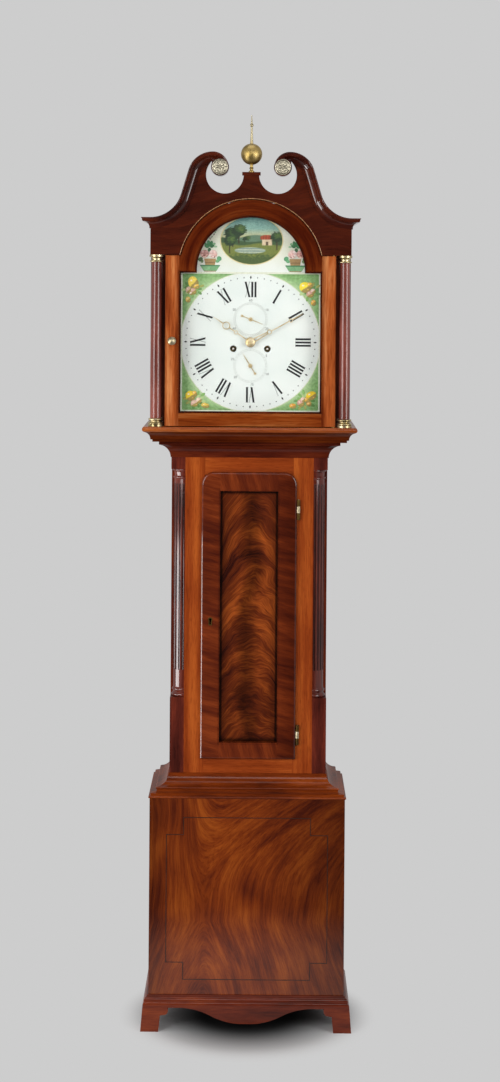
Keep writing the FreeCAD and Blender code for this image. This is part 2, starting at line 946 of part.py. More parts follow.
def dial_mask():
    """The board behind the hood door that frames the dial. A slot lets the door's catch through."""
    half = hood_half - hood_board
    outline = break_arch(half, z_deck, z_cornice - roof_board - 6, arch_radius - 22)
    board = front_plate(outline, mask_back, mask_front)
    x, z = catch_place()
    slot = block((x - 5, x + 5), (mask_back - 1, mask_front + 1), (z - 5, z + 15))
    recesses = pair(post(column_recess(), *column_place(), z_deck - 1, z_frieze + 1))
    return board.cut([front_plate(mask_opening(), mask_back - 1, mask_front + 1), slot] + recesses)


def mask_opening():
    return door_light(-mask_reveal)


# Hood door
def door_light(margin):
    """The outline of the glazed opening, a margin larger all round."""
    half = hood_door_width / 2 - door_stile + margin
    z_low = z_deck + door_gap + door_rail - margin
    return break_arch(half, z_low, z_arch + margin, arch_radius - door_gap - door_arch_rail + margin)


def hood_pivot():
    """The door's pivots stand near its front right edge: (x, depth)."""
    return hood_door_width / 2 - pivot_inset, door_front - pivot_inset


def hood_door_frame():
    outer = break_arch(hood_door_width / 2, z_deck + door_gap, z_frieze - door_gap, arch_radius - door_gap)
    cuts = [
        front_plate(door_light(0), door_back - 1, door_front + 1),
        front_plate(door_light(door_step), door_front - 4, door_front + 1),
        front_plate(door_light(glass_rebate), door_back - 1, glass_front()),
        rod(4 + running_clearance, *catch_place(), door_back - 1, door_front + 1),
    ]
    return front_plate(outer, door_back, door_front).cut(cuts + pivot_straps())


def glass_front():
    return door_back + 0.45 * hood_door_thickness


def hood_door_glass():
    return front_plate(door_light(glass_rebate), glass_front() - glass_thickness, glass_front())


def pivot_straps():
    """Brass straps let into the door's lower and upper edges at the pivots."""
    x, depth = hood_pivot()
    low, high = z_deck + door_gap, z_frieze - door_gap
    levels = ((low, low + strap_thickness), (high - strap_thickness, high))
    return [block((x - strap_length, x + 3.5), (depth - 6, depth + 3.5), z) for z in levels]


def hood_door_pivots():
    x, depth = hood_pivot()
    low, high = pivot_straps()
    collar = post(2 * pivot_radius, x, depth, z_deck + 0.3, z_deck + door_gap)
    low = low.fuse([collar, post(pivot_radius, x, depth, z_deck - pivot_reach, z_deck + door_gap)])
    high = high.fuse(post(pivot_radius, x, depth, z_frieze - door_gap, z_frieze + pivot_reach))
    return [low, high]


def catch_place():
    return -(hood_door_width - door_stile) / 2, z_dial + 3


def hood_door_knob():
    """Brass knob whose spindle turns a tongue behind the mask."""
    x, z = catch_place()
    r, front = knob_radius, door_front
    section = [
        (0, mask_back - 5),
        (4, mask_back - 5),
        (4, front + 0.3),
        (0.85 * r, front + 0.3),
        (0.85 * r, front + 2),
        (4, front + 4, 0.3),
        (4, front + 7),
        (r, front + 12, -0.35),
        (0, front + 18, -dome(r, 6)),
    ]
    knob = turned(section, x, z)
    tongue = block((x - 3, x + 3), (mask_back - 5, mask_back - 1.5), (z - 3, z + 13))
    return knob.fuse(tongue)


# Dial and hands
def dial():
    """Painted iron dial on four feet riveted to its back, with holes for arbors and winding squares."""
    back = dial_front - dial_thickness
    outline = break_arch(dial_half, z_dial - dial_half, z_dial + dial_half, dial_arch_radius)
    holes = [(0, z_dial, 8.0), (0, z_dial + seconds_rise, 2.5), (0, z_dial - date_drop, 3.0)]
    holes += [(x, z_dial - barrel_drop, 8.0) for x in (-barrel_spread, barrel_spread)]
    plate = front_plate(outline, back, dial_front)
    plate = plate.cut([rod(r, x, z, back - 1, dial_front + 1) for x, z, r in holes])
    feet = []
    for x, z in pillar_places():
        feet.append(rod(3.5, 0.93 * x, z + (6 if z < z_dial else -6), plate_front, back))
    return plate.fuse(feet)


def pierced_hand(length, angle, boss, depth, bore, rings, rails):
    """A pierced brass hand: open rings (share of its length, radius) on a slim stem that ends in a
    point. The stem leaves the boss as rails that close up at the first ring."""
    low = dial_front + depth
    high = low + hand_thickness
    first, last = rings[0][0] * length, rings[-1][0] * length
    stem = [(first, -hand_stem), (last, -hand_stem), (last, hand_stem), (first, hand_stem)]
    tip = [(last, -1.5 * hand_stem), (length, -0.3), (length, 0.3), (last, 1.5 * hand_stem)]
    strips = [stem, tip]
    for start in rails:
        end = 0.3 * start
        left = [(0, start - hand_stem), (first, end - hand_stem)]
        strips.append(left + [(first, end + hand_stem), (0, start + hand_stem)])
    solids = [front_plate(strip, low, high) for strip in strips]
    solids += [rod(radius, share * length, 0, low, high) for share, radius in rings]
    blade = rod(boss, 0, 0, low, high).fuse(solids)
    eyes = [rod(radius - 1.6 * hand_stem, share * length, 0, low - 1, high + 1) for share, radius in rings]
    blade = blade.cut(eyes + [rod(bore, 0, 0, low - 1, high + 1)])
    blade.rotate(FreeCAD.Vector(0, 0, 0), FreeCAD.Vector(0, -1, 0), angle)
    blade.translate(FreeCAD.Vector(0, 0, z_dial))
    return blade.removeSplitter()


def small_hand(length, tail, angle, x, z):
    """A slim hand with a round counterpoise, for the seconds and date dials."""
    low = dial_front + 1.5
    blade = [(-tail, -0.9), (0.55 * length, -0.9), (length, 0), (0.55 * length, 0.9), (-tail, 0.9)]
    hand = front_plate(blade, low, low + 1)
    hand = hand.fuse([rod(5, 0, 0, low, low + 1), rod(3, -tail, 0, low, low + 1)])
    hand = hand.cut(rod(pivot_size, 0, 0, low - 1, low + 2))
    hand.rotate(FreeCAD.Vector(0, 0, 0), FreeCAD.Vector(0, -1, 0), angle)
    hand.translate(FreeCAD.Vector(x, 0, z))
    return hand


def hour_hand():
    rings = [(0.39, 5.0), (0.66, 9.5)]
    fit = (12.0, hour_hand_stand, hour_pipe_radius)
    return pierced_hand(hour_hand_length, hour_hand_angle, *fit, rings, [0])


def minute_hand():
    rings = [(0.36, 6.0), (0.76, 5.0)]
    rails = [-4.5, 4.5]
    fit = (10.0, minute_hand_stand, cannon_radius)
    return pierced_hand(minute_hand_length, minute_hand_angle, *fit, rings, rails)


def seconds_hand():
    return small_hand(35.0, 22.0, -22.0, 0, z_dial + seconds_rise)


def date_hand():
    """The date hand, and behind the dial the arbor and the wheel of thirty-one teeth that carry it."""
    z = z_dial - date_drop
    back = dial_front - dial_thickness
    hand = small_hand(36.0, 22.0, 122.0, 0, z)
    arbor = rod(pivot_size, 0, z, back - 8, dial_front + 2.5)
    wheel = tooth_plate((0, z), 31, 1.2, 0.0, WHEEL_TOOTH, back - 7, back - 5, 0)
    return [hand, arbor.fuse([wheel, rod(5, 0, z, back - 7, back - 0.4)])]


# Wheels and pinions
# Tooth form as (addendum, dedendum) in modules and (tip, root) widths in pitches.
WHEEL_TOOTH = (1.0, 1.2, 0.2, 0.5)
LEAF_TOOTH = (0.5, 1.5, 0.2, 0.32)
MOTION_TOOTH = (0.8, 1.2, 0.2, 0.46)


def tooth_plate(place, teeth, module, phase, form, depth_from, depth_to, bore):
    """A toothed disc with four crossings. One tooth points along phase, in degrees from +X to +Z."""
    addendum, dedendum, tip, root = form
    pitch_radius = teeth * module / 2
    pitch = 2 * math.pi / teeth
    top, foot = pitch_radius + addendum * module, pitch_radius - dedendum * module
    x, z = place
    points = []
    for i in range(teeth):
        middle = math.radians(phase) + i * pitch
        for radius, width in ((foot, -root), (top, -tip), (top, tip), (foot, root)):
            angle = middle + width * pitch / 2 * pitch_radius / radius
            points.append((x + radius * math.cos(angle), z + radius * math.sin(angle)))
    disc = front_plate(points, depth_from, depth_to)
    cuts = crossings(place, foot - 3.2, depth_from - 1, depth_to + 1) if foot > 12 else []
    if bore:
        cuts.append(rod(bore, x, z, depth_from - 1, depth_to + 1))
    return disc.cut(cuts) if cuts else disc


def crossings(place, rim, depth_from, depth_to):
    """The four windows between a wheel's spokes."""
    hub, spoke = 0.3 * rim, 1.6
    x, z = place
    windows = []
    for quarter in range(4):
        corners = []
        for radius, side in ((rim, 1), (rim, -1), (hub, -1), (hub, 1)):
            lean = math.asin(spoke / radius)
            angle = math.radians(90 * quarter + (0 if side > 0 else 90)) + side * lean
            corners.append((x + radius * math.cos(angle), z + radius * math.sin(angle)))
        swing = math.tan((math.pi / 2 - 2 * math.asin(spoke / rim)) / 4)
        hub_swing = math.tan((math.pi / 2 - 2 * math.asin(spoke / hub)) / 4)
        corners[1] += (-swing,)
        corners[3] += (hub_swing,)
        windows.append(front_plate(corners, depth_from, depth_to))
    return windows


def spindle(place, stretches):
    """An arbor of plain stretches (radius, depth at its front end), starting at the first depth."""
    points = [(0, stretches[0])]
    last = stretches[0]
    for radius, depth in stretches[1:]:
        points += [(radius, last), (radius, depth)]
        last = depth
    return turned(points + [(0, last)], *place)


def heading(a, b):
    """The direction from arbor a to arbor b, in degrees from +X to +Z."""
    return math.degrees(math.atan2(b[1] - a[1], b[0] - a[0]))


def module_between(a, b, teeth):
    return 2 * math.hypot(b[0] - a[0], b[1] - a[1]) / sum(teeth)


def wheel(own, other, teeth, depth, bore=0):
    """A wheel that drives a pinion on another arbor. teeth is (wheel, pinion)."""
    module = module_between(own, other, teeth)
    front = depth + wheel_thickness
    return tooth_plate(own, teeth[0], module, heading(own, other), WHEEL_TOOTH, depth, front, bore)


def pinion(own, other, teeth, depth, length):
    """A pinion driven by a wheel on another arbor, with a gap turned to that wheel."""
    module = module_between(own, other, teeth)
    phase = heading(own, other) + 180 / teeth[1]
    return tooth_plate(own, teeth[1], module, phase, LEAF_TOOTH, depth, depth + length, 0)


# Places of the arbors, and the counts of each meeting of wheel and pinion
CENTRE = (0.0, z_dial)
GOING_BARREL = (barrel_spread, z_dial - barrel_drop)
STRIKE_BARREL = (-barrel_spread, z_dial - barrel_drop)
ESCAPE = (0.0, z_dial + seconds_rise)
THIRD = (third_across, z_dial + third_rise)
ANCHOR = (0.0, z_dial + anchor_rise)
MINUTE_STUD = (stud_across, z_dial + stud_rise)
PIN = (-pin_across, z_dial + pin_rise)
GATHERING = (-gathering_across, z_dial + gathering_rise)
WARNING = (-warning_across, z_dial + warning_rise)
FLY = (-fly_across, z_dial + fly_rise)
HAMMER = (-hammer_across, z_dial + hammer_rise)
GREAT_TEETH = (96, 8)
CENTRE_TEETH = (64, 8)
THIRD_TEETH = (60, 8)
MOTION_TEETH = (40, 40)
HOUR_TEETH = (96, 8)
STRIKE_TEETH = (84, 8)
PIN_TEETH = (56, 8)
GATHERING_TEETH = (56, 8)
WARNING_TEETH = (48, 8)
ESCAPE_TEETH = 30

# Depths of the wheels
great_wheel_depth = back_inner + great_stand
centre_wheel_depth = back_inner + centre_stand
third_wheel_depth = back_inner + third_stand
escape_wheel_depth = back_inner + escape_stand
pin_wheel_depth = back_inner + pin_stand
gathering_wheel_depth = back_inner + gathering_stand
warning_wheel_depth = back_inner + warning_stand
drum_start = back_inner + drum_stand
drum_end = drum_start + drum_length
cannon_depth = plate_front + cannon_stand
hour_wheel_depth = plate_front + hour_stand


def pillar_places():
    low, high = z_dial - plate_drop + 12, z_dial + plate_rise - 6
    return [(-plate_half + 8, low), (plate_half - 8, low), (-plate_half + 10, high), (plate_half - 10, high)]


def movement_frame():
    """Front and back plates, bored for every arbor, and the four pillars between them."""
    low, high = z_dial - plate_drop, z_dial + plate_rise
    outline = [(-plate_half, low), (plate_half, low), (plate_half, high), (-plate_half, high)]
    small = pivot_size + running_clearance
    both = [(p, small) for p in (THIRD, ESCAPE, PIN, GATHERING, WARNING, FLY, HAMMER)]
    both += [(p, winding_arbor + running_clearance) for p in (GOING_BARREL, STRIKE_BARREL)]
    both.append((CENTRE, arbor_size + running_clearance))
    plates = []
    for start, extra in ((plate_back, [(ANCHOR, 5.0)]), (front_inner, [(ANCHOR, small)])):
        holes = [rod(r, *place, start - 1, start + plate_thickness + 1) for place, r in both + extra]
        plates.append(front_plate(outline, start, start + plate_thickness).cut(holes))
    pillars = []
    for place in pillar_places():
        section = [
            (0, back_inner),
            (4, back_inner),
            (3, back_inner + 8),
            (4.5, back_inner + 27),
            (4.5, back_inner + plate_gap - 27),
            (3, front_inner - 8),
            (4, front_inner),
            (0, front_inner),
        ]
        pillars.append(turned(section, *place))
    stud = rod(stud_radius, *MINUTE_STUD, plate_front, hour_wheel_depth + 6)
    return [plates[0], plates[1].fuse(stud)] + pillars


def train_arbor(place, front):
    """A slim arbor with a pivot in each plate. front is how far its front pivot reaches."""
    back_pivot = (pivot_size, back_inner + 0.3)
    middle = (arbor_size, front_inner - 0.3)
    return spindle(place, [plate_back, back_pivot, middle, (pivot_size, front)])


def centre_wheel():
    """Centre arbor with its pinion and wheel, and the cannon wheel and pipe that carry the minute hand."""
    arbor = spindle(CENTRE, [plate_back, (arbor_size, dial_front + minute_hand_stand + 4)])
    leaves = pinion(CENTRE, GOING_BARREL, GREAT_TEETH, great_wheel_depth - 1.5, 6.0)
    great = wheel(CENTRE, THIRD, CENTRE_TEETH, centre_wheel_depth)
    module = module_between(CENTRE, MINUTE_STUD, MOTION_TEETH)
    phase = heading(CENTRE, MINUTE_STUD)
    front = cannon_depth + 2
    cannon = tooth_plate(CENTRE, MOTION_TEETH[0], module, phase, MOTION_TOOTH, cannon_depth, front, 0)
    pipe_end = dial_front + minute_hand_stand + hand_thickness
    pipe = rod(cannon_radius, *CENTRE, cannon_depth, pipe_end)
    cap = [
        (0, pipe_end),
        (hand_collet, pipe_end),
        (hand_collet, pipe_end + 1),
        (arbor_size + 1, pipe_end + 3.5, -0.2),
        (0, pipe_end + 3.5),
    ]
    collet = turned(cap, *CENTRE)
    return arbor.fuse([leaves, great, cannon, pipe, collet])


def minute_wheel():
    """Minute wheel and its pinion, running on a stud in the front plate."""
    module = module_between(CENTRE, MINUTE_STUD, MOTION_TEETH)
    phase = heading(MINUTE_STUD, CENTRE) + 180 / MOTION_TEETH[1]
    front = cannon_depth + 2
    disc = tooth_plate(MINUTE_STUD, MOTION_TEETH[1], module, phase, MOTION_TOOTH, cannon_depth, front, 0)
    leaves = pinion(MINUTE_STUD, CENTRE, HOUR_TEETH, front, hour_wheel_depth - cannon_depth + 2)
    bore = rod(stud_radius + running_clearance, *MINUTE_STUD, cannon_depth - 1, hour_wheel_depth + 8)
    return disc.fuse(leaves).cut(bore)


def hour_wheel():
    """Hour wheel on a pipe that runs over the cannon and carries the hour hand."""
    disc = wheel(CENTRE, MINUTE_STUD, HOUR_TEETH, hour_wheel_depth)
    pipe = rod(hour_pipe_radius, *CENTRE, hour_wheel_depth, dial_front + hour_hand_stand + hand_thickness)
    bore_end = dial_front + hour_hand_stand + 9
    bore = rod(cannon_radius + running_clearance, *CENTRE, hour_wheel_depth - 1, bore_end)
    return disc.fuse(pipe).cut(bore)


def third_wheel():
    arbor = train_arbor(THIRD, plate_front)
    leaves = pinion(THIRD, CENTRE, CENTRE_TEETH, centre_wheel_depth - 2, 7.0)
    return arbor.fuse([leaves, wheel(THIRD, ESCAPE, THIRD_TEETH, third_wheel_depth)])


def escape_wheel():
    """Escape wheel of thirty raked teeth. Its long front pivot carries the seconds hand."""
    radius = 0.36 * seconds_rise
    x, z = ESCAPE
    points = []
    for i in range(ESCAPE_TEETH):
        for share, reach in ((0.0, 0.84), (0.3, 1.0), (0.36, 1.0), (0.5, 0.84)):
            angle = 2 * math.pi * (i + share) / ESCAPE_TEETH
            points.append((x + reach * radius * math.cos(angle), z + reach * radius * math.sin(angle)))
    disc = front_plate(points, escape_wheel_depth, escape_wheel_depth + 2)
    disc = disc.cut(crossings(ESCAPE, 0.7 * radius, escape_wheel_depth - 1, escape_wheel_depth + 3))
    arbor = train_arbor(ESCAPE, dial_front + 2.5)
    leaves = pinion(ESCAPE, THIRD, THIRD_TEETH, third_wheel_depth - 2, 7.0)
    return arbor.fuse([disc, leaves])


def great_wheel(own, other, teeth):
    """Great wheel, loose on the winding arbor."""
    return wheel(own, other, teeth, great_wheel_depth, winding_arbor + running_clearance)


def barrel(place):
    """Winding arbor with its drum, end caps and square for the key."""
    arbor = spindle(place, [plate_back, (winding_arbor, plate_front + 12)])
    drum = turned(
        [
            (0, drum_start),
            (barrel_radius + 2.5, drum_start),
            (barrel_radius + 2.5, drum_start + 1.5),
            (barrel_radius, drum_start + 1.5),
            (barrel_radius, drum_end - 1.5),
            (barrel_radius + 2.5, drum_end - 1.5),
            (barrel_radius + 2.5, drum_end),
            (0, drum_end),
        ],
        *place,
    )
    x, z = place
    square = block((x - 2.6, x + 2.6), (plate_front + 12, dial_front + 3), (z - 2.6, z + 2.6))
    return arbor.fuse([drum, square])


def anchor():
    """Recoil anchor on its arbor, with the crutch that drives the pendulum rod."""
    x, z = ANCHOR
    drop = anchor_rise - seconds_rise
    right = [
        (0, 5),
        (0.38 * drop, 1),
        (0.7 * drop, -0.28 * drop),
        (0.62 * drop, -0.5 * drop),
        (0.53 * drop, -0.51 * drop),
        (0.5 * drop, -0.33 * drop),
        (0.25 * drop, -0.16 * drop),
        (0, -5),
    ]
    outline = [(x + a, z + b) for a, b in right] + [(x - a, z + b) for a, b in reversed(right[1:-1])]
    pallets = front_plate(outline, escape_wheel_depth - 1.5, escape_wheel_depth + 3.5)
    rear = cock_front()
    arbor = spindle(
        ANCHOR,
        [rear - 4, (pivot_size, rear + 0.3), (arbor_size, front_inner - 0.3), (pivot_size, plate_front)],
    )
    fork = z_dial - 44
    crutch = block((-1.5, 1.5), (plate_back - 10, plate_back - 7), (fork, z))
    bridge = block((-6, 6), (plate_back - 10, plate_back - 7), (fork - 4, fork))
    prongs = pair(block((3.4, 6), (pendulum_depth - 6, plate_back - 7), (fork - 4, fork)))
    return arbor.fuse([pallets, crutch, bridge] + prongs)


def cock_front():
    """The front face of the back cock's bridge."""
    return plate_back - 17


def back_cock():
    """Bridge behind the back plate that carries the anchor's rear pivot and hangs the pendulum."""
    x, z = ANCHOR
    front = cock_front()
    bridge = block((-28, 28), (front - 4, front), (z - 10, z + 14))
    bridge = bridge.cut(rod(pivot_size + running_clearance, x, z, front - 5, front + 1))
    feet = pair(block((20, 28), (front, plate_back), (z - 10, z + 10)))
    arm = block((-8, 8), (pendulum_depth - 7, front - 4), (z + 6, z + 14))
    arm = arm.cut(block((-0.6, 0.6), (pendulum_depth - 8, pendulum_depth + 6), (z, z + 20)))
    spring = block((-0.2, 0.2), (pendulum_depth - 4, pendulum_depth + 4), (z - 9, z + 14))
    head = block((-6, 6), (pendulum_depth - 4, pendulum_depth + 4), (z + 14, z + 19))
    return [bridge.fuse(feet + [arm]), spring.fuse(head)]


def pendulum_rod():
    """Steel rod with a slotted head that takes the suspension spring, and a thread for the nut."""
    z = z_dial + anchor_rise
    head = block((-4, 4), (pendulum_depth - 6, pendulum_depth + 6), (z - 24, z - 4))
    head = head.cut(block((-0.8, 0.8), (pendulum_depth - 7, pendulum_depth + 7), (z - 14, z)))
    return post(rod_radius, 0, pendulum_depth, z - pendulum_length - bob_radius - 34, z - 22).fuse(head)


def pendulum_bob():
    """Lens-shaped bob with a rod slot, and the rating nut below it."""
    z = z_dial + anchor_rise - pendulum_length
    half, rim = bob_thickness / 2, 2.0
    bulge = dome(bob_radius, half - rim)
    section = [
        (0, pendulum_depth - half),
        (bob_radius, pendulum_depth - rim, -bulge),
        (bob_radius, pendulum_depth + rim),
        (0, pendulum_depth + half, -bulge),
    ]
    bore = post(rod_radius, 0, pendulum_depth, z - bob_radius - 40, z + bob_radius + 1)
    bob = turned(section, 0, z).cut(bore)
    nut = post(8, 0, pendulum_depth, z - bob_radius - 12, z - bob_radius).cut(bore)
    return [bob, nut]


# Strike train, bell and hammer
def pin_wheel():
    arbor = train_arbor(PIN, plate_front)
    disc = wheel(PIN, GATHERING, PIN_TEETH, pin_wheel_depth)
    leaves = pinion(PIN, STRIKE_BARREL, STRIKE_TEETH, great_wheel_depth - 1.5, 6.0)
    radius = 0.43 * PIN_TEETH[0] * module_between(PIN, GATHERING, PIN_TEETH)
    front = pin_wheel_depth + wheel_thickness
    pins = []
    for i in range(8):
        angle = math.radians(45 * i)
        place = (PIN[0] + radius * math.cos(angle), PIN[1] + radius * math.sin(angle))
        pins.append(rod(1.0, *place, front, front + 4.5))
    return arbor.fuse([leaves, disc] + pins)


def gathering_wheel():
    leaves = pinion(GATHERING, PIN, PIN_TEETH, pin_wheel_depth - 2, 7.0)
    disc = wheel(GATHERING, WARNING, GATHERING_TEETH, gathering_wheel_depth)
    return train_arbor(GATHERING, plate_front).fuse([leaves, disc])


def warning_wheel():
    leaves = pinion(WARNING, GATHERING, GATHERING_TEETH, gathering_wheel_depth - 2, 7.0)
    disc = wheel(WARNING, FLY, WARNING_TEETH, warning_wheel_depth)
    return train_arbor(WARNING, plate_front).fuse([leaves, disc])


def fly():
    """Air brake: a two-bladed vane on the last arbor of the strike."""
    x, z = FLY
    leaves = pinion(FLY, WARNING, WARNING_TEETH, warning_wheel_depth - 2, 7.0)
    back, front = warning_wheel_depth + 8, warning_wheel_depth + 28
    vane = block((x - 12.5, x + 12.5), (back, front), (z - 0.6, z + 0.6))
    collar = rod(3.6, x, z, back - 1, front + 1)
    return train_arbor(FLY, plate_front).fuse([leaves, vane, collar])


def bell_depth():
    return back_inner + plate_gap / 2


def bell():
    """Bell metal cup, mouth down, on a stand screwed to the back plate."""
    z, r, wall_thickness = z_dial + bell_rise, bell_radius, 3.0
    top = z + 0.75 * r
    bore = 3.5
    cup = [
        (bore, top),
        (bore, top - wall_thickness),
        (0.45 * r, top - wall_thickness),
        (r - wall_thickness - 3, z + 0.3 * r, 0.28),
        (r - wall_thickness, z),
        (r, z),
        (r - 3, z + 0.34 * r),
        (0.48 * r, top, -0.28),
    ]
    cup = upright(cup, 0, bell_depth())
    x = plate_half - 34
    low, high = z_dial + plate_rise - 30, z_dial + plate_rise + 3
    strap = block((x - 6, x + 6), (plate_back - 3, plate_back), (low, high))
    arm = [(x - 6, plate_back - 3), (x + 6, plate_back - 3), (5, bell_depth() + 5), (-5, bell_depth() - 3)]
    arm = plan_plate(arm, high, high + 3)
    stem = post(bore, 0, bell_depth(), high, top + 4)
    seat = post(7, 0, bell_depth(), top - wall_thickness - 4, top - wall_thickness)
    nut = post(7, 0, bell_depth(), top, top + 4)
    return [cup, strap.fuse([arm, stem, seat, nut])]


def hammer():
    """Bell hammer on its arbor between the plates, with the tail that the pins lift."""
    x, z = HAMMER
    depth = bell_depth()
    strike = z_dial + bell_rise + 6
    stem = [(x - 2, z), (x + 2, z), (x - 9, strike), (x - 13, strike)]
    stem = front_plate(stem, depth - 2, depth + 2)
    head_end = -(bell_radius + 1.2)
    head = Part.makeCylinder(6.5, head_end - (x - 17), at(x - 17, depth, strike), FreeCAD.Vector(1, 0, 0))
    lift = math.radians(heading(HAMMER, PIN))
    along, across = (math.cos(lift), math.sin(lift)), (-math.sin(lift), math.cos(lift))
    reach = math.hypot(PIN[0] - x, PIN[1] - z) - 24.5
    corners = [(0, -1.5), (reach, -1.5), (reach, 1.5), (0, 1.5)]
    tail = [(x + a * along[0] + b * across[0], z + a * along[1] + b * across[1]) for a, b in corners]
    front = pin_wheel_depth + wheel_thickness + 1
    return train_arbor(HAMMER, plate_front).fuse([stem, head, front_plate(tail, front, front + 3)])


# Weights, pulleys and lines
def line_places():
    """For each line, the x of its run from the barrel and of its fixed run: going, then strike."""
    reach = barrel_radius + line_radius + 0.2
    span = 2 * (pulley_radius + line_radius + 0.2)
    return [(x - reach, x - reach + span) for x in (barrel_spread, -barrel_spread)]


def weight_levels():
    """Bottom of the run-down weight, its top, and its pulley's axle."""
    low = z_carcase + floor_board + weight_clearance
    high = low + weight_height
    return low, high, high + 24 + pulley_rim + 12


def weight(places):
    """Iron weight with a swivel hook, and the stirrup that its pulley runs in."""
    x = sum(places) / 2
    low, high, axle = weight_levels()
    r = weight_radius
    bridge = high + 12
    section = [
        (0, low),
        (r - 3, low),
        (r, low + 3, -0.414),
        (r, high - 3),
        (r - 3, high, -0.414),
        (3, high + 1),
        (3, bridge + 3.4),
        (6, bridge + 3.4),
        (6, bridge + 8),
        (0, bridge + 8),
    ]
    body = upright(section, x, line_depth)
    stirrup = block((x - 5, x + 5), (line_depth - 8, line_depth + 8), (bridge, bridge + 3))
    stirrup = stirrup.cut(post(3.3, x, line_depth, bridge - 1, bridge + 4))
    for near in (line_depth - 8, line_depth + 6.4):
        stirrup = stirrup.fuse(block((x - 5, x + 5), (near, near + 1.6), (bridge, axle + 6)))
    return [body, stirrup.fuse(rod(2.5, x, axle, line_depth - 9, line_depth + 9))]


def pulley(places):
    """Brass pulley with a round groove for the line."""
    x = sum(places) / 2
    axle = weight_levels()[2]
    bore = 2.5 + running_clearance
    section = [
        (bore, line_depth - 6),
        (pulley_rim, line_depth - 6),
        (pulley_rim, line_depth - 4),
        (pulley_radius, line_depth - 1.4),
        (pulley_radius, line_depth + 1.4),
        (pulley_rim, line_depth + 4),
        (pulley_rim, line_depth + 6),
        (bore, line_depth + 6),
    ]
    return turned(section, x, axle)


def line(places):
    """Gut line from the barrel, round the pulley and up to a knot on the seatboard."""
    wound, fixed = places
    axle = weight_levels()[2]
    turn = (fixed - wound) / 2
    drop = z_dial - barrel_drop
    middle = at((wound + fixed) / 2, line_depth, axle)
    ring = Part.makeTorus(turn, line_radius, middle, FreeCAD.Vector(0, 1, 0))
    below = block((wound - 5, fixed + 5), (line_depth - 5, line_depth + 5), (axle - turn - 5, axle))
    wound_run = post(line_radius, wound, line_depth, axle, drop)
    fixed_run = post(line_radius, fixed, line_depth, axle, z_seat + 1)
    knot = post(3 * line_radius, fixed, line_depth, z_seat + 0.3, z_seat + 4)
    return ring.common(below).fuse([wound_run, fixed_run, knot])


going_line, strike_line = line_places()
NODES = {
    "backboard": backboard(),
    "base_front": base_front(),
    "base_carcase": base_carcase(),
    "plinth_skirting": skirting(),
    "waist_moulding": waist_moulding(),
    "trunk_sides": trunk_sides(),
    "trunk_front_frame": trunk_front_frame(),
    "quarter_columns": quarter_columns(),
    "throat_moulding": throat_moulding(),
    "seatboard": seatboard(),
    "trunk_hinge_leaves": case_hinge_leaves(),
    "trunk_door_frame": trunk_door_frame(),
    "trunk_door_panel": trunk_door_panel(),
    "trunk_door_hinges": door_hinge_leaves(),
    "trunk_door_lock": trunk_lock(),
    "lock_bolt": lock_bolt(),
    "hood_base_frame": hood_base_frame(),
    "hood_carcase": hood_carcase(),
    "pediment_board": pediment(),
    "swan_neck_mouldings": swan_necks(),
    "rosettes": rosettes(),
    "finial": finial(),
    "hood_columns": hood_columns(),
    "column_brasses": column_brasses(),
    "dial_mask": dial_mask(),
    "hood_door_frame": hood_door_frame(),
    "hood_door_glass": hood_door_glass(),
    "hood_door_pivots": hood_door_pivots(),
    "hood_door_knob": hood_door_knob(),
    "dial_plate": dial(),
    "hour_hand": hour_hand(),
    "minute_hand": minute_hand(),
    "seconds_hand": seconds_hand(),
    "date_hand": date_hand(),
    "movement_frame": movement_frame(),
    "centre_wheel": centre_wheel(),
    "minute_wheel": minute_wheel(),
    "hour_wheel": hour_wheel(),
    "third_wheel": third_wheel(),
    "escape_wheel": escape_wheel(),
    "going_great_wheel": great_wheel(GOING_BARREL, CENTRE, GREAT_TEETH),
    "going_barrel": barrel(GOING_BARREL),
    "anchor": anchor(),
    "back_cock": back_cock(),
    "pendulum_rod": pendulum_rod(),
    "pendulum_bob": pendulum_bob(),
    "strike_great_wheel": great_wheel(STRIKE_BARREL, PIN, STRIKE_TEETH),
    "strike_barrel": barrel(STRIKE_BARREL),
    "pin_wheel": pin_wheel(),
    "gathering_wheel": gathering_wheel(),
    "warning_wheel": warning_wheel(),
    "fly": fly(),
    "hammer": hammer(),
    "bell": bell(),
    "going_weight": weight(going_line),
    "going_pulley": pulley(going_line),
    "going_line": line(going_line),
    "strike_weight": weight(strike_line),
    "strike_pulley": pulley(strike_line),
    "strike_line": line(strike_line),
}

os.makedirs("parts", exist_ok=True)
for name, pieces in NODES.items():
    shape = Part.makeCompound(pieces) if isinstance(pieces, list) else pieces
    shape.exportStep(f"parts/{name}.step")
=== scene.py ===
import json
import math

import bmesh
import bpy
import numpy as np
from mathutils import Matrix, Vector


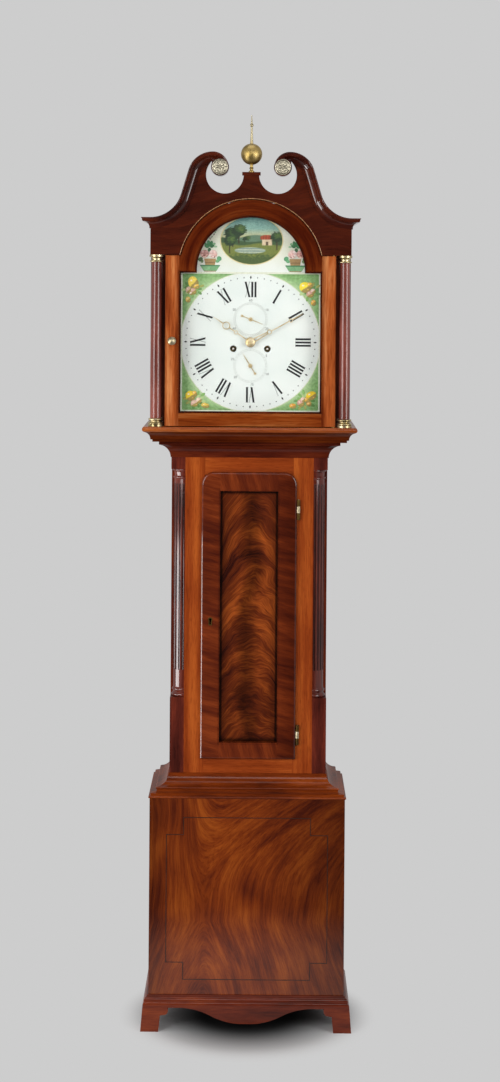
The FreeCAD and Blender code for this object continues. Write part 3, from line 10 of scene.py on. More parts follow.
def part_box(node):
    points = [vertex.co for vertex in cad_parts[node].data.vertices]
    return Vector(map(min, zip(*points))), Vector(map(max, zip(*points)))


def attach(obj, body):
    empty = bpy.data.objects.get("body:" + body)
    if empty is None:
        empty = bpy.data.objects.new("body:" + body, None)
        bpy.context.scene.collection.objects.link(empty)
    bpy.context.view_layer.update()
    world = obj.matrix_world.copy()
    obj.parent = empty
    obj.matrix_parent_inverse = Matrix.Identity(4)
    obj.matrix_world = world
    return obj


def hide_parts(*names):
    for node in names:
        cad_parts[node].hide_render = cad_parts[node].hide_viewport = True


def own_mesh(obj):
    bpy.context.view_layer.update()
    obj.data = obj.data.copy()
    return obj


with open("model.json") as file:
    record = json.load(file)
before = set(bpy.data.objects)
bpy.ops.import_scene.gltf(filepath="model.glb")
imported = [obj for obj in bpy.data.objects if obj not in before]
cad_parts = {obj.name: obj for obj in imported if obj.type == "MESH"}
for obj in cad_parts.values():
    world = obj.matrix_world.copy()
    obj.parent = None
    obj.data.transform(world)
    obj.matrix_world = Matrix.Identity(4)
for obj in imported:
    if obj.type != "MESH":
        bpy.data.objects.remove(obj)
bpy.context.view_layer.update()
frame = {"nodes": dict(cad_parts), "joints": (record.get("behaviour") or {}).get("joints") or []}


# The carcase: the sides of the base, trunk and hood and the boards of the hood's roof.
# Plain-sawn mahogany boards, planed, glued and housed together, stained and French polished.
# The grain of each runs up the clock, and the roof and the edges by the wall are left bare.
def hue(hexadecimal):
    """A written sRGB colour as linear red, green, blue and full alpha."""
    parts = np.array([int(hexadecimal[i : i + 2], 16) for i in (1, 3, 5)]) / 255
    linear = np.where(parts <= 0.04045, parts / 12.92, ((parts + 0.055) / 1.055) ** 2.4)
    return (*linear.tolist(), 1.0)


def feed(node, inputs):
    """Gives sockets of a node their constants, or links them to sockets or to a node's first live output."""
    for key, value in inputs.items():
        if isinstance(value, bpy.types.Node):
            value = next(output for output in value.outputs if output.enabled)
        if isinstance(value, bpy.types.NodeSocket):
            node.id_data.links.new(value, node.inputs[key])
        else:
            node.inputs[key].default_value = value


def add(tree, kind, inputs=(), stops=(), **settings):
    """Adds one node: settings go on it, inputs are fed by name or else in the order of its live sockets,
    and stops of hex or linear colours fill its ramp."""
    node = tree.nodes.new("ShaderNode" + kind)
    for key, value in settings.items():
        setattr(node, key, value)
    live = [index for index, socket in enumerate(node.inputs) if socket.enabled]
    feed(node, inputs if isinstance(inputs, dict) else dict(zip(live, inputs)))
    for place, colour in stops[1:-1]:
        node.color_ramp.elements.new(place)
    for element, (place, colour) in zip(node.color_ramp.elements if stops else (), stops):
        element.position = place
        element.color = hue(colour) if isinstance(colour, str) else colour
    return node


def finish_of(name):
    """A new material, with its node tree and its surface shader."""
    finish = bpy.data.materials.new(name)
    finish.use_nodes = True
    return finish, finish.node_tree, finish.node_tree.nodes["Principled BSDF"]


def put_on(finish, *nodes):
    """Gives the finish to pieces of the frame."""
    for node in nodes:
        for slot in frame["nodes"][node].material_slots:
            slot.material = finish


def whole_place(tree):
    """The place on the piece in metres, as one vector."""
    return add(tree, "TexCoord").outputs["Object"]


def place_on(tree):
    """The place on the piece in metres, as x, y and z."""
    return add(tree, "SeparateXYZ", (whole_place(tree),)).outputs


depth_share = 0.7


def upright(tree):
    """Grain that runs up: along it is z, across it x with a share of the depth."""
    x, y, z = place_on(tree)
    across = add(tree, "Math", (y, depth_share, x), operation="MULTIPLY_ADD")
    return add(tree, "CombineXYZ", (z, across, y))


full = (1, 1, 1, 1)
multiply = {"data_type": "RGBA", "blend_type": "MULTIPLY"}


def mahogany(
    name, tones, run, streak=0.005, ribbon=0.03, contrast=1.0, length=9.0, shade=None, satin=0.06,
    cloud=0.1, shares=(0.4, 0.8, 0.6), polish=0.9, bare=(0, 1, 0),
):
    """French polished mahogany. Fibre streaks, broad ribbons and hand-wide clouds are noise drawn out
    along the grain, and the sum of their shares picks the tone. Pores are short dark flecks, coarser
    than real ones so that they show. shade, where given, darkens parts of the piece. polish is how far
    the coat is built up on all faces but those turned in the bare direction, and satin its roughness."""
    finish, tree, shader = finish_of(name)
    grain = run(tree)
    pore_wide, pore_drawn = 0.0016, 12.0
    tone, noises = 0.5 - sum(shares) / 2 * contrast, []
    for wide, drawn, detail, share in (
        (streak, length, 2.0, shares[0]),
        (ribbon, 0.8 * length, 1.0, shares[1]),
        (cloud, 2.0, 1.0, shares[2]),
        (pore_wide, pore_drawn, 0.0, 0.0),
    ):
        scale = (1 / (wide * drawn), 1 / wide, 1 / (4 * wide))
        place = add(tree, "Mapping", {"Vector": grain, "Scale": scale})
        noise = {"Vector": place, "Scale": 1.0, "Detail": detail, "Roughness": 0.5}
        noises.append(add(tree, "TexNoise", noise))
        tone = add(tree, "Math", (noises[-1], share * contrast, tone), operation="MULTIPLY_ADD")
    fibre, pore = noises[0], noises[-1]
    colour = add(tree, "ValToRGB", (tone,), list(zip((0.25, 0.5, 0.75), tones)))
    fleck = add(tree, "ValToRGB", (pore,), [(0.3, (0.8, 0.76, 0.76, 1)), (0.42, full)])
    colour = add(tree, "Mix", (1.0, colour, fleck), **multiply)
    if shade:
        colour = add(tree, "Mix", (1.0, colour, shade(tree)), **multiply)
    normal = add(tree, "TexCoord").outputs["Normal"]
    turned = add(tree, "VectorMath", (normal, bare), operation="DOT_PRODUCT")
    feed(shader, {
        "Base Color": colour,
        "Roughness": add(tree, "MapRange", (fibre, 0.0, 1.0, 0.26, 0.4)),
        "Normal": add(tree, "Bump", {"Strength": 0.12, "Distance": 0.0004, "Height": fibre}),
        "Specular IOR Level": 0.0,
        "Coat Weight": add(tree, "MapRange", (turned, 0.5, 0.8, polish, 0.0)),
        "Coat Roughness": satin,
    })
    return finish


case_boards = mahogany(
    "french_polished_mahogany_boards", ("#33100a", "#571c0c", "#742c0e"), upright,
    satin=0.2, polish=0.6, bare=(0, 1, 1),
)
put_on(case_boards, "base_carcase", "trunk_sides", "hood_carcase")

# Backboard and seatboard: sawn pine, never polished, darkened by age and dust.
# Pale early wood and brown late wood show as upright bands, about 18 mm wide, with a few knots.
# The grain wanders a little to each side as it runs up.
sawn_pine, tree, shader = finish_of("sawn_pine")
x, y, z = place_on(tree)
wander = add(tree, "TexNoise", {"Vector": whole_place(tree), "Scale": 2.2, "Detail": 1.0})
across = add(tree, "Math", (wander, 0.07, x), operation="MULTIPLY_ADD")
grain = add(tree, "CombineXYZ", (z, across, y))
place = add(tree, "Mapping", {"Vector": grain, "Scale": (0.7, 55.0, 20.0)})
ring = add(tree, "TexNoise", {"Vector": place, "Scale": 1.0, "Detail": 4.0, "Distortion": 0.5})
colour = add(tree, "ValToRGB", (ring,), [(0.3, "#7c5430"), (0.5, "#9c7044"), (0.7, "#b48852")])
knots = add(tree, "TexVoronoi", {"Vector": grain, "Scale": 3.1}, feature="F1")
knot = add(tree, "ValToRGB", (knots,), [(0.02, "#4a2c17"), (0.05, full)])
colour = add(tree, "Mix", (0.85, colour, knot), **multiply)
saw = add(tree, "Bump", {"Strength": 0.4, "Distance": 0.0006, "Height": ring})
feed(shader, {"Base Color": colour, "Normal": saw, "Roughness": 0.8})
put_on(sawn_pine, "backboard", "seatboard")


# Base front: one wide sheet of swirl-figured mahogany veneer on a pine ground, French polished.
# The figure rises straight on the left, arches over itself low down, and leans off to the upper right.
def swirl(tree):
    """Lines of grain keep one value of: distance from an upright axis left of the middle, less a slope
    below the axis's waist, less a square growing above it on the right hand side."""
    axis, sway, soft_square, waist, lean_from = 0.077, 0.06, 0.0002, 0.26, 0.285
    slope, growth, right_from, right_full = 0.42, 3.1, -0.17, -0.05
    x, _, z = place_on(tree)
    wobble = add(tree, "TexNoise", {"Vector": whole_place(tree), "Scale": 4.5, "Detail": 1.0})
    side = add(tree, "Math", (wobble, sway, x), operation="MULTIPLY_ADD")
    side = add(tree, "Math", (side, axis), operation="ADD")
    away = add(tree, "Math", (side, side), operation="MULTIPLY")
    away = add(tree, "Math", (away, soft_square), operation="ADD")
    away = add(tree, "Math", (away,), operation="SQRT")
    below = add(tree, "Math", (waist, z), operation="SUBTRACT")
    below = add(tree, "Math", (below, 0.0), operation="MAXIMUM")
    above = add(tree, "Math", (z, lean_from), operation="SUBTRACT")
    above = add(tree, "Math", (above, 0.0), operation="MAXIMUM")
    above = add(tree, "Math", (above, above), operation="MULTIPLY")
    right = add(tree, "MapRange", (x, right_from, right_full), interpolation_type="SMOOTHSTEP")
    above = add(tree, "Math", (above, right), operation="MULTIPLY")
    line = add(tree, "Math", (below, -slope, away), operation="MULTIPLY_ADD")
    line = add(tree, "Math", (above, -growth, line), operation="MULTIPLY_ADD")
    return add(tree, "CombineXYZ", (z, line, x))


def sheet_edges(tree):
    """Dark at the left edge and fading to dark over the right half."""
    sheet_half = 0.235
    place = add(tree, "MapRange", (place_on(tree)["X"], -sheet_half, sheet_half))
    levels = ((0.0, 0.55), (0.1, 0.85), (0.35, 1.0), (0.6, 0.9), (1.0, 0.5))
    return add(tree, "ValToRGB", (place,), [(at, (level, level, level, 1)) for at, level in levels])


base_veneer = mahogany(
    "swirl_figured_mahogany", ("#46170a", "#6c2c0d", "#8a4214"), swirl, 0.003, 0.011, 0.95, 30.0,
    sheet_edges, cloud=0.06, shares=(0.4, 0.55, 0.9),
)
put_on(base_veneer, "base_front")


# String inlay of the base front: a thin dark line let into the veneer, a rectangle whose corners
# step in square. Ebonised holly, planed flush and polished over with the rest.
def surface(name, points, wrap=False, paint=None, closed=False):
    """One mesh from a stack of grids, points[sheet, row, column]: each four neighbours make a face, and
    a wrapped sheet joins its last column to its first. Points that meet become one, and a closed shell
    is turned to face outwards. paint gives each point a colour."""
    sheets, rows, columns = points.shape[:3]
    index = np.arange(sheets * rows * columns).reshape(sheets, rows, columns)
    if wrap:
        index = np.concatenate([index, index[:, :, :1]], axis=2)
    corners = (index[:, :-1, :-1], index[:, 1:, :-1], index[:, 1:, 1:], index[:, :-1, 1:])
    mesh = bpy.data.meshes.new(name)
    mesh.from_pydata(points.reshape(-1, 3).tolist(), [], np.stack(corners, -1).reshape(-1, 4).tolist())
    if paint is not None:
        colours = np.broadcast_to(paint, (*points.shape[:3], 4)).astype(np.float32)
        layer = mesh.color_attributes.new("paint", "FLOAT_COLOR", "POINT")
        layer.data.foreach_set("color", colours.ravel())
    merged = bmesh.new()
    merged.from_mesh(mesh)
    bmesh.ops.remove_doubles(merged, verts=merged.verts, dist=1e-6)
    if closed:
        bmesh.ops.recalc_face_normals(merged, faces=merged.faces)
    merged.to_mesh(mesh)
    merged.free()
    return mesh


def fit(mesh, finish, body, smooth=True):
    """Makes a piece of the mesh, gives it its finish and lets it ride on a body of the clock."""
    if smooth:
        mesh.shade_smooth()
    mesh.materials.append(finish)
    piece = bpy.data.objects.new(mesh.name, mesh)
    bpy.context.scene.collection.objects.link(piece)
    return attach(piece, body)


def strip(path, half, y, proud):
    """A closed flat line on the front: the path (x, z) set out to both sides along the mean of its two
    neighbouring normals, with its face proud of y and its edges on y."""
    normals = []
    for leg in (path - np.roll(path, 1, 0), np.roll(path, -1, 0) - path):
        normals.append(np.stack([leg[:, 1], -leg[:, 0]], 1) / np.linalg.norm(leg, axis=1, keepdims=True))
    mitre = normals[0] + normals[1]
    mitre /= (mitre * normals[0]).sum(1, keepdims=True)
    rows = [(half, 0.0), (half, proud), (-half, proud), (-half, 0.0)]
    return np.stack([np.insert(path + mitre * out, 1, y - rise, 1) for out, rise in rows])[None]


# The line is drawn a little proud of the veneer, so that the two faces part.
string_half, notch, line_half, line_proud = 0.193, 0.041, 0.0009, 0.0002
string_low, string_high = 0.120, 0.508
step = string_half - notch
corner = [(step, string_low), (step, string_low + notch), (string_half, string_low + notch)]
right_side = corner + [(x, string_low + string_high - z) for x, z in reversed(corner)]
string_path = np.array(right_side + [(-x, z) for x, z in reversed(right_side)])
ebonised, tree, shader = finish_of("ebonised_holly_stringing")
# Dyed wood under polish: near black, a little brown where the dye is thin.
dye = add(tree, "TexNoise", {"Vector": whole_place(tree), "Scale": 60.0, "Detail": 2.0})
colour = add(tree, "ValToRGB", (dye,), [(0.35, "#1c0b06"), (0.7, "#3a180c")])
feed(shader, {"Base Color": colour, "Roughness": 0.35})
stringing = strip(string_path, line_half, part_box("base_front")[0].y, line_proud)
fit(surface("base_stringing", stringing, True), ebonised, "case", False)


# Skirting with its bracket feet, the waist moulding and the throat moulding: solid mahogany run to a
# section with moulding planes, mitred at the front corners and glued on. Their grain runs lengthwise.
def mitred(tree):
    """Grain along a moulding: x on the front and y on the sides, told apart by the face's own normal."""
    x, y, z = place_on(tree)
    facing = add(tree, "SeparateXYZ", (add(tree, "TexCoord").outputs["Normal"],)).outputs["X"]
    turned = add(tree, "Math", (facing,), operation="ABSOLUTE")
    turned = add(tree, "Math", (turned, 0.3), operation="GREATER_THAN")
    along = add(tree, "Mix", (turned, x, y), data_type="FLOAT")
    return add(tree, "CombineXYZ", (along, z, y))


for node, name, tones, streak, polish in (
    ("plinth_skirting", "skirting_mahogany", ("#3d150b", "#571f0f", "#6e2e15"), 0.005, 0.5),
    ("waist_moulding", "waist_mahogany", ("#4a1a08", "#68290a", "#843a10"), 0.004, 0.4),
    ("throat_moulding", "throat_mahogany", ("#2f0e07", "#45160a", "#5a220f"), 0.004, 0.4),
):
    put_on(mahogany(name, tones, mitred, streak, 0.02, 0.9, polish=polish), node)


# Trunk frame: straight-grained mahogany stiles and rails, brighter than the rest of the case.
# Stiles run up, and the narrow rails between them run across.
def aside(tree):
    """The distance to either side of the clock's middle."""
    return add(tree, "Math", (place_on(tree)["X"],), operation="ABSOLUTE")


def beyond(tree, half):
    """1 further than half to each side of the middle, and 0 between."""
    return add(tree, "Math", (aside(tree), half), operation="GREATER_THAN")


def members(tree, half):
    """The places along and across a frame's members: z and x on the stiles, which lie beyond half to
    each side, and x and z on the rails."""
    x, _, z = place_on(tree)
    stile = beyond(tree, half)
    along = add(tree, "Mix", (stile, x, z), data_type="FLOAT")
    return along, add(tree, "Mix", (stile, z, x), data_type="FLOAT")


def framed(tree):
    """Grain along each member of the trunk frame."""
    stile_from = 0.107
    along, across = members(tree, stile_from)
    y = place_on(tree)["Y"]
    across = add(tree, "Math", (y, depth_share, across), operation="MULTIPLY_ADD")
    return add(tree, "CombineXYZ", (along, across, y))


trunk_frame_wood = mahogany(
    "straight_grained_mahogany", ("#6a280b", "#853812", "#a04e1c"), framed, 0.003, 0.02, 1.0, 20.0
)
put_on(trunk_frame_wood, "trunk_front_frame")


# Quarter columns: fluted mahogany turned in the round and split in four, on square blocks.
# The dark straight grain shows as fine upright streaks.
def fluted(tree):
    """Painted shade darkens the hollows of the flutes. The angle round the column's axis, twenty times,
    gives a wave with its troughs on the five flutes of the quarter, cut off above and below them."""
    radius, flutes_round, flute_middle, flute_half = 0.034, 20.0, 1.077, 0.225
    low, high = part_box("quarter_columns")
    _, y, z = place_on(tree)
    across = add(tree, "Math", (aside(tree), high.x - radius), operation="SUBTRACT")
    ahead = add(tree, "Math", (low.y + radius, y), operation="SUBTRACT")
    turn = add(tree, "Math", (ahead, across), operation="ARCTAN2")
    turn = add(tree, "Math", (turn, flutes_round), operation="MULTIPLY")
    wave = add(tree, "Math", (turn,), operation="COSINE")
    up = add(tree, "Math", (z, flute_middle), operation="SUBTRACT")
    up = add(tree, "Math", (up,), operation="ABSOLUTE")
    plain = add(tree, "Math", (up, flute_half), operation="GREATER_THAN")
    wave = add(tree, "Math", (wave, plain), operation="MAXIMUM")
    return add(tree, "ValToRGB", (wave,), [(0.0, (0.42, 0.42, 0.42, 1)), (0.6, full)])


column_wood = mahogany(
    "quarter_column_mahogany", ("#34110c", "#4f1d14", "#6a2a1b"), upright, 0.004, 0.02, 1.0,
    shade=fluted, satin=0.1,
)
put_on(column_wood, "quarter_columns")


# Trunk door: a frame crossbanded with dark mahogany inside a lip of solid wood, and a panel of
# crotch veneer cut where the tree forks, whose figure rises like a flame and falls to both sides.
def crossbanded(tree):
    """Grain across each member of the door's frame, leaning a little as it goes."""
    stile_from, lean_by = 0.07, 0.25
    across, along = members(tree, stile_from)
    lean = add(tree, "Math", (along, lean_by, across), operation="MULTIPLY_ADD")
    return add(tree, "CombineXYZ", (along, lean, place_on(tree)["Y"]))


def hinge_side(tree):
    """The stile on the hinge side is darkened with painted shade, for light that falls from the left."""
    dark_from, dark_full = 0.04, 0.11
    place = add(tree, "MapRange", (place_on(tree)["X"], dark_from, dark_full))
    return add(tree, "ValToRGB", (place,), [(0.0, full), (1.0, (0.52, 0.42, 0.34, 1))])


door_wood = mahogany(
    "crossbanded_mahogany", ("#42150a", "#5c230e", "#763214"), crossbanded, 0.005, 0.02, 1.0, 8.0, hinge_side
)
put_on(door_wood, "trunk_door_frame")
panel_foot, panel_head = (corner.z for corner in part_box("trunk_door_panel"))


def flame(tree):
    """Lines of grain keep one value of the height plus the square of the distance from a wandering
    spine: they arch over the spine, steeply at the head of the panel and flatly at its foot."""
    flat, steep, drift_by, drift_mean, curl_by = 6.0, 24.0, 0.10, 0.055, 0.085
    where = whole_place(tree)
    x, y, z = place_on(tree)
    drift = add(tree, "TexNoise", {"Vector": where, "Scale": 6.0, "Detail": 2.0, "Roughness": 0.6})
    x = add(tree, "Math", (drift, drift_by, x), operation="MULTIPLY_ADD")
    x = add(tree, "Math", (x, drift_mean), operation="SUBTRACT")
    fall = add(tree, "Math", (x, x), operation="MULTIPLY")
    rate = add(tree, "MapRange", (z, panel_foot, panel_head, flat, steep))
    curl = add(tree, "TexNoise", {"Vector": where, "Scale": 12.0, "Detail": 2.0})
    line = add(tree, "Math", (curl, curl_by, z), operation="MULTIPLY_ADD")
    line = add(tree, "Math", (fall, rate, line), operation="MULTIPLY_ADD")
    return add(tree, "CombineXYZ", (x, line, y))


def spine(tree):
    """Dark along the middle where the fork's two stems met, bright to each side, darker towards the foot,
    and black with painted shade in the corner all round the sunk panel."""
    black, low = (0.2, 0.2, 0.2, 1), (0.68, 0.64, 0.7, 1)
    rim_from, rim_full, drift_by, drift_mean, heart_half = 0.0625, 0.0655, 0.12, 0.06, 0.1
    side, _, height = place_on(tree)
    drift = {"Vector": whole_place(tree), "Scale": 6.0, "Detail": 3.0, "Roughness": 0.6}
    heart = add(tree, "Math", (add(tree, "TexNoise", drift), drift_by, side), operation="MULTIPLY_ADD")
    heart = add(tree, "Math", (heart, drift_mean), operation="SUBTRACT")
    away = add(tree, "Math", (heart,), operation="ABSOLUTE")
    place = add(tree, "MapRange", (away, 0.0, heart_half))
    levels = ((0.0, 0.4), (0.12, 0.55), (0.3, 1.0), (0.6, 0.8), (0.9, 0.5))
    across = add(tree, "ValToRGB", (place,), [(at, (level, level, level, 1)) for at, level in levels])
    rise = add(tree, "MapRange", (height, panel_foot, panel_head))
    # The black stops here and the rim below are painted shade in the sunk panel's corners.
    stops = [(0.02, black), (0.03, low), (0.42, full), (0.97, full), (0.98, black)]
    up = add(tree, "ValToRGB", (rise,), stops)
    rim = add(tree, "MapRange", (aside(tree), rim_from, rim_full))
    rim = add(tree, "ValToRGB", (rim,), [(0.0, full), (1.0, black)])
    up = add(tree, "Mix", (1.0, up, rim), **multiply)
    return add(tree, "Mix", (1.0, across, up), **multiply)


panel_veneer = mahogany(
    "crotch_figured_mahogany", ("#34110a", "#62280f", "#98491a"), flame, 0.003, 0.010, 0.85, 5.0, spine,
    cloud=0.05, shares=(0.5, 0.5, 0.9),
)
put_on(panel_veneer, "trunk_door_panel")


# Brass fittings: hinges, lock plate, knob, column ends, finial, hands and movement.
# Cast or sheet brass, filed, polished and lacquered, dulled to olive gold where it is not handled.
def worn_metal(name, tones, rough, tip=9.0):
    """Metal with its tone and gloss varied by two noises, about 25 mm and 3 mm across. Above the height
    tip it turns pale: a painted reflection of the pale room on a thin spire."""
    speck_share, sheen_fade = 0.15, 0.02
    finish, tree, shader = finish_of(name)
    where = whole_place(tree)
    cloud = add(tree, "TexNoise", {"Vector": where, "Scale": 40.0, "Detail": 3.0, "Roughness": 0.6})
    speck = add(tree, "TexNoise", {"Vector": where, "Scale": 330.0, "Detail": 2.0})
    mixed = add(tree, "Math", (speck, speck_share, cloud), operation="MULTIPLY_ADD")
    colour = add(tree, "ValToRGB", (mixed,), list(zip((0.42, 0.58, 0.75), tones)))
    # Painted reflection: above tip the colour fades to a pale grey gold.
    pale_sheen = add(tree, "MapRange", (place_on(tree)["Z"], tip, tip + sheen_fade))
    colour = add(tree, "Mix", (pale_sheen, colour, hue("#a59a7c")), data_type="RGBA")
    gloss = add(tree, "MapRange", (mixed, 0.35, 0.8, rough, 1.5 * rough))
    feed(shader, {"Base Color": colour, "Roughness": gloss, "Metallic": 1.0})
    return finish


# Above the finial's ball the thin spire is painted pale, a painted reflection.
spire = 0.078
aged_brass = worn_metal("aged_brass", ("#8a7440", "#a58d55", "#bda56c"), 0.36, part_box("finial")[1].z - spire)
put_on(aged_brass, "hood_door_pivots", "finial")
handled_brass = worn_metal("handled_brass", ("#8f8468", "#b3a688", "#cfc4a8"), 0.34)
put_on(handled_brass, "trunk_door_hinges", "hood_door_knob")
pale_brass = worn_metal("lacquered_brass", ("#8f7f58", "#b5a57e", "#d6cba8"), 0.26)
put_on(pale_brass, "column_brasses")
# The fixed hinge leaves take this dark brass as painted shade, the shadow beside the pale knuckles; the lock
# plate is tarnished brass.
tarnish_and_shade_brass = worn_metal("tarnished_and_shade_darkened_brass", ("#3c2c18", "#54401f", "#6e562c"), 0.5)
put_on(tarnish_and_shade_brass, "trunk_hinge_leaves", "trunk_door_lock")
bright_brass = worn_metal("polished_brass", ("#9a8048", "#bfa068", "#d8c092"), 0.24)
put_on(bright_brass, "movement_frame", "minute_wheel", "hour_wheel", "third_wheel", "escape_wheel")
put_on(bright_brass, "going_great_wheel", "going_barrel", "strike_great_wheel", "strike_barrel", "pin_wheel")
put_on(bright_brass, "gathering_wheel", "warning_wheel", "fly", "back_cock")
put_on(bright_brass, "going_pulley", "strike_pulley", "pendulum_bob")

# Steel of the lock, anchor, hammer and pendulum rod: forged, filed bright along its length and oiled.
# It looks grey with soft streaks and a few brown rust specks. The file's strokes, about 1 mm apart,
# are coarser than real ones so that they show.
filed_steel, tree, shader = finish_of("filed_steel")
where = whole_place(tree)
drawn = add(tree, "Mapping", {"Vector": where, "Scale": (900.0, 900.0, 60.0)})
file_marks = add(tree, "TexNoise", {"Vector": drawn, "Scale": 1.0, "Detail": 2.0})
rust = add(tree, "TexNoise", {"Vector": where, "Scale": 120.0, "Detail": 4.0})
colour = add(tree, "ValToRGB", (rust,), [(0.3, "#5b4636"), (0.42, "#83807b"), (0.7, "#a3a29e")])
gloss = add(tree, "MapRange", (file_marks, 0.0, 1.0, 0.25, 0.5))
feed(shader, {"Base Color": colour, "Roughness": gloss, "Metallic": 1.0})
put_on(filed_steel, "anchor", "pendulum_rod", "hammer", "lock_bolt")

# Bell: cast bell metal, turned on a lathe, so its skin carries fine rings round the upright axis.
# The tin in it makes it paler and greyer than brass.
bell_metal, tree, shader = finish_of("bell_metal")
rings = add(tree, "Mapping", {"Vector": whole_place(tree), "Scale": (6.0, 6.0, 700.0)})
turning = add(tree, "TexNoise", {"Vector": rings, "Scale": 1.0, "Detail": 2.0})
colour = add(tree, "ValToRGB", (turning,), [(0.35, "#8a7650"), (0.65, "#b9a67c")])
feed(shader, {"Base Color": colour, "Metallic": 1.0, "Roughness": 0.32})
put_on(bell_metal, "bell")

# Driving weights: iron cast in sand, so that their skin is rough.
# They are blackened, and rusted brown in patches about 30 mm across.
cast_iron, tree, shader = finish_of("cast_iron")
where = whole_place(tree)
skin = add(tree, "TexNoise", {"Vector": where, "Scale": 450.0, "Detail": 3.0})
patch = add(tree, "TexNoise", {"Vector": where, "Scale": 35.0, "Detail": 4.0})
colour = add(tree, "ValToRGB", (patch,), [(0.4, "#242222"), (0.6, "#35302c"), (0.75, "#4d3527")])
sand = add(tree, "Bump", {"Strength": 0.6, "Distance": 0.0008, "Height": skin})
feed(shader, {"Base Color": colour, "Normal": sand, "Roughness": 0.7, "Metallic": 0.6})
put_on(cast_iron, "going_weight", "strike_weight")


# Lines of the weights: twisted gut, 2 mm thick, from each barrel down round a pulley and up to a knot
# on the seatboard. The upright runs stay on the case at one length; the loop rides on its weight.
def tube(path, radius, around=12):
    """A closed round section carried along a path of points: at each point a circle stands square to
    the path, its corners made from two directions square to the path's own."""
    along = np.gradient(path, axis=0)
    along /= np.linalg.norm(along, axis=1, keepdims=True)
    first = np.cross(along, (0.0, 1.0, 0.0))
    first /= np.linalg.norm(first, axis=1, keepdims=True)
    second = np.cross(along, first)
    angle = np.linspace(0, 2 * math.pi, around, endpoint=False)[:, None]
    skin = path[:, None] + radius * (np.cos(angle) * first[:, None] + np.sin(angle) * second[:, None])
    ends = [np.broadcast_to(path[i], (1, around, 3)) for i in (0, -1)]
    return np.concatenate([ends[0], skin, ends[1]])[None]


gut, tree, shader = finish_of("twisted_gut")
# Translucent dried gut: amber, with its twist showing as slanting bands about 3 mm apart.
twist_up, twist_across = 2100.0, 1500.0
x, _, z = place_on(tree)
slant = add(tree, "Math", (z, twist_up), operation="MULTIPLY")
slant = add(tree, "Math", (x, twist_across, slant), operation="MULTIPLY_ADD")
twist = add(tree, "Math", (slant,), operation="SINE")
colour = add(tree, "ValToRGB", (twist,), [(0.0, "#8a683a"), (1.0, "#b8935a")])
feed(shader, {"Base Color": colour, "Roughness": 0.45})
line_r, knot_r, knot_low, knot_high = 0.001, 0.003, 0.0003, 0.0037
joints = {joint["name"]: joint for joint in frame["joints"]}
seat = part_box("seatboard")[1].z
half_round = np.linspace(math.pi, 2 * math.pi, 25)
angle = np.linspace(0, 2 * math.pi, 20, endpoint=False)
share = np.linspace(0, 1, 15)[:, None]
for side in ("going", "strike"):
    low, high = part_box(side + "_line")
    line_y = (low.y + high.y) / 2
    pulley_low, pulley_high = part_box(side + "_pulley")
    centre_x, axle = (pulley_low.x + pulley_high.x) / 2, (pulley_low.z + pulley_high.z) / 2
    loop_r = axle - low.z - line_r
    left_x, right_x = centre_x - loop_r, centre_x + loop_r
    runs = [np.array([(x, line_y, axle), (x, line_y, seat)]) for x in (left_x, right_x)]
    falls = np.concatenate([tube(run, line_r) for run in runs])
    piece = fit(surface(side + "_line_falls", falls, True, closed=True), gut, "case")
    rise = joints[side + "_weight_rise"]["range_m"][1]
    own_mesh(piece)
    across, up = loop_r * np.cos(half_round), loop_r * np.sin(half_round)
    loop = tube(np.stack([centre_x + across, 0 * across + line_y, axle + up], 1), line_r)
    fit(surface(side + "_line_loop", loop, True, closed=True), gut, side + "_weight")
    top = tube(np.array([(left_x, line_y, seat), (left_x, line_y, high.z)]), line_r)
    fit(surface(side + "_line_top", top, True, closed=True), gut, "case")
    reach = knot_r * np.sin(math.pi * share)
    up = seat + knot_low + knot_high * share
    knot = np.stack([right_x + reach * np.cos(angle), line_y + reach * np.sin(angle), up + 0 * angle], -1)
    fit(surface(side + "_line_knot", knot[None], True, closed=True), gut, "case")
    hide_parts(side + "_line")

# Dial: an iron sheet japanned white under varnish, with a faint warm cast in its arch.
# All its painting lies a few tenths of a millimetre proud of this ground, so that the layers part.
dial_paint, tree, shader = finish_of("japanned_dial_ground")
arch_from, arch_full = 1.80, 1.86
cast = add(tree, "TexNoise", {"Vector": whole_place(tree), "Scale": 14.0, "Detail": 4.0})
field = add(tree, "ValToRGB", (cast,), [(0.35, "#e3ebe5"), (0.65, "#ebf1eb")])
warm = add(tree, "ValToRGB", (cast,), [(0.35, "#dfe2cc"), (0.65, "#e9ebdd")])
arch_share = add(tree, "MapRange", (place_on(tree)["Z"], arch_from, arch_full))
colour = add(tree, "Mix", (arch_share, field, warm), data_type="RGBA")
feed(shader, {"Base Color": colour, "Roughness": 0.4})
put_on(dial_paint, "dial_plate")
dial_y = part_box("dial_plate")[0].y
centre_z, seconds_z, date_z = (
    joints[name]["pos_m"][2] for name in ("minute_turn", "seconds_turn", "date_turn")
)
layer = 0.00015

# Enamel paints of the dial: colours ground in varnish and brushed on by hand over the ground.
# They are thin and glossy, and the brush's tones are carried point by point.
painted, tree, shader = finish_of("dial_painters_enamel")
tones = add(tree, "VertexColor", layer_name="paint")
grit = add(tree, "TexNoise", {"Vector": whole_place(tree), "Scale": 420.0, "Detail": 3.0})
dab = add(tree, "MapRange", (grit, 0.3, 0.7, 0.82, 1.12))
feed(shader, {"Base Color": add(tree, "Mix", (1.0, tones, dab), **multiply), "Roughness": 0.42})


# Corner ground: green paint between the chapter disc and the square, edged with lines of cream.
# It is dabbed on, so it is mottled, and it pales towards the disc.
def lay(name, points, paint, wrap=False, smooth=True):
    """Lays sheets of paint on the dial."""
    return fit(surface(name, points, wrap, paint), painted, "case", smooth)


